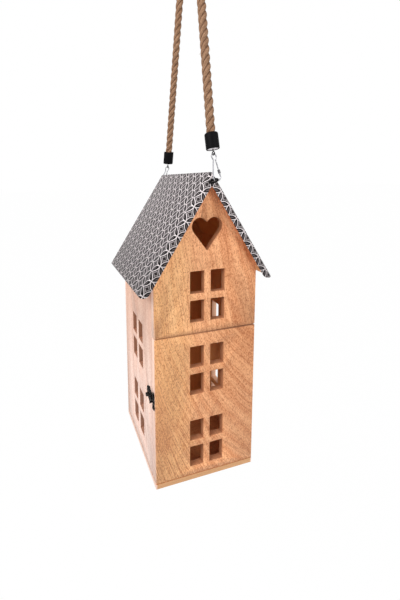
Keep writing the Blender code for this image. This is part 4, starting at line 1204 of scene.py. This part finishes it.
# %% Jute
def make_jute():
    jute = Finish("jute")
    around, crown, along = [
        jute.node("Attribute", attribute_name=name, out="Fac") for name in ("around", "crown", "along")
    ]
    along = along / MM
    yarns = jute.noise((around * 60, along * 0.22, 0), 1, 3, 0.7, 0.4)
    fibres = jute.noise((around * 170, along * 0.5, 3), 1, 3, 0.7)
    blotches = jute.noise(jute.place, 0.09)
    colour = jute.layers(
        jute.blend(yarns.step(0.36, 0.64), paint(96, 66, 46), paint(166, 130, 102)),
        (fibres.step(0.5, 0.7) * 0.5, paint(190, 156, 126)),
        (blotches.step(0.45, 0.75) * 0.35, paint(122, 86, 62)),
        (crown.fall(0.72, 0.9) * 0.8, paint(78, 50, 34)),
    )
    height = yarns * 0.6 + fibres * 0.4
    return jute.done(colour, 0.92, jute.bump(height, 0.5, 0.9), Specular_IOR_Level=0.25)


jute = make_jute()
print("finish:", jute.name)

# %% [markdown]
# Geometry Nodes twist the rope. A profile of three touching strands runs along the line, and the line's
# tilt grows with its length, one full turn for each lay of the rope. Attributes kept on the surface let the
# fibres in the shader follow the strands.

# %% Twisting the rope
FULL_TURN = 2 * pi
PROFILE_POINTS, ROPE_STEP = 48, 1.4
STRAND_RADIUS, STRAND_OFFSET, LAY_LENGTH = 3.5, 2.1, 33


def make_rope_shape():
    shape = Shape("laid_rope")
    strands, strand, spread, lay = shape.sizes("Strands", "Strand radius", "Strand offset", "Lay length")

    def keep(geometry, name, value):
        """Stores a value on every point under a name."""
        settings = {"data_type": "FLOAT", "domain": "POINT"}
        return shape.node("StoreNamedAttribute", geometry, Name=name, Value=value, **settings)

    turn = shape.node("InputIndex") * (FULL_TURN / PROFILE_POINTS)
    share = (turn * strands / FULL_TURN).fraction()
    off = (share - 0.5) * FULL_TURN / strands
    flank = (strand * strand - (spread * off.sine()) ** 2).most(0.0).root()
    radius = spread * off.cosine() + flank
    ring = shape.vector(radius * turn.cosine(), radius * turn.sine(), 0.0)
    profile = shape.node("SetPosition", shape.circle(PROFILE_POINTS, 1.0), Position=ring)
    profile = keep(profile, "around", turn / FULL_TURN)
    profile = keep(profile, "crown", radius / (spread + strand))
    curve = shape.node("MeshToCurve", shape.given())
    curve = shape.node("ResampleCurve", curve, mode="LENGTH", Length=ROPE_STEP * MM)
    length = shape.node("SplineParameter", out="Length")
    curve = shape.node("SetCurveTilt", curve, Tilt=length / lay * FULL_TURN)
    return shape.finish(shape.swept(keep(curve, "along", length), profile))


rope_mesh = make_rope_shape().run(
    "rope", line_mesh("rope_line", rope_line), Strands=3, Strand_radius=STRAND_RADIUS * MM,
    Strand_offset=STRAND_OFFSET * MM, Lay_length=LAY_LENGTH * MM, Material=jute,
)
rope = piece("hanging_rope_laid", rope_mesh, "hanging_rope")
print("rope faces:", len(rope_mesh.polygons))

# %% [markdown]
# Jute sheds. A few hundred stray fibres stand off the rope at all angles, and they are what makes its outline
# soft. A geometry tree scatters them on the rope's surface and bends each one a little.

# %% Stray fibres
FIBRES_PER_SQUARE_METRE, FIBRE_LENGTH, FIBRE_RADIUS = 24000.0, 3.2, 0.06
LEAN_LEAST, LEAN_MOST = (-1.3, -1.3, -3.1), (1.3, 1.3, 3.1)


def make_fibre_shape():
    shape = Shape("stray_fibres")
    density, long, thick = shape.sizes("Density", "Fibre length", "Fibre radius")
    spots = shape.node("DistributePointsOnFaces", shape.given(), distribute_method="RANDOM", Density=density)
    standing = Socket(shape, spots.output.node.outputs["Rotation"])
    lean = shape.node("FunctionNodeRandomValue", LEAN_LEAST, LEAN_MOST, data_type="FLOAT_VECTOR")
    lean = shape.node("FunctionNodeEulerToRotation", lean)
    facing = shape.node("FunctionNodeRotateRotation", standing, lean, rotation_space="LOCAL")
    middle, tip = shape.vector(0.0, 0.0, long * 0.6), shape.vector(long * 0.5, 0.0, long * 0.9)
    curve = shape.node("CurveQuadraticBezier", Resolution=4, Start=(0.0, 0.0, 0.0), Middle=middle, End=tip)
    hair = shape.node("CurveToMesh", Curve=curve, Profile_Curve=shape.circle(3, thick))
    size = shape.node("FunctionNodeRandomValue", None, None, 0.4, 1.0, out=1, data_type="FLOAT", Seed=3)
    size = shape.vector(size, size, size)
    hairs = shape.node("InstanceOnPoints", Points=spots, Instance=hair, Rotation=facing, Scale=size)
    return shape.finish(hairs)


def make_fibre_finish():
    straw = Finish("jute_fibre")
    tone = straw.noise(straw.place, 0.3)
    return straw.done(straw.blend(tone, paint(160, 124, 96), paint(190, 156, 126)), 0.85)


fibre_mesh = make_fibre_shape().run(
    "fibres", rope_mesh, Density=FIBRES_PER_SQUARE_METRE, Fibre_length=FIBRE_LENGTH * MM,
    Fibre_radius=FIBRE_RADIUS * MM, Material=make_fibre_finish(),
)
fibres = piece("rope_stray_fibres", fibre_mesh, beside="hanging_rope")
print("stray fibres:", len(fibre_mesh.polygons), "faces")

# %% [markdown]
# Here the scene is complete.
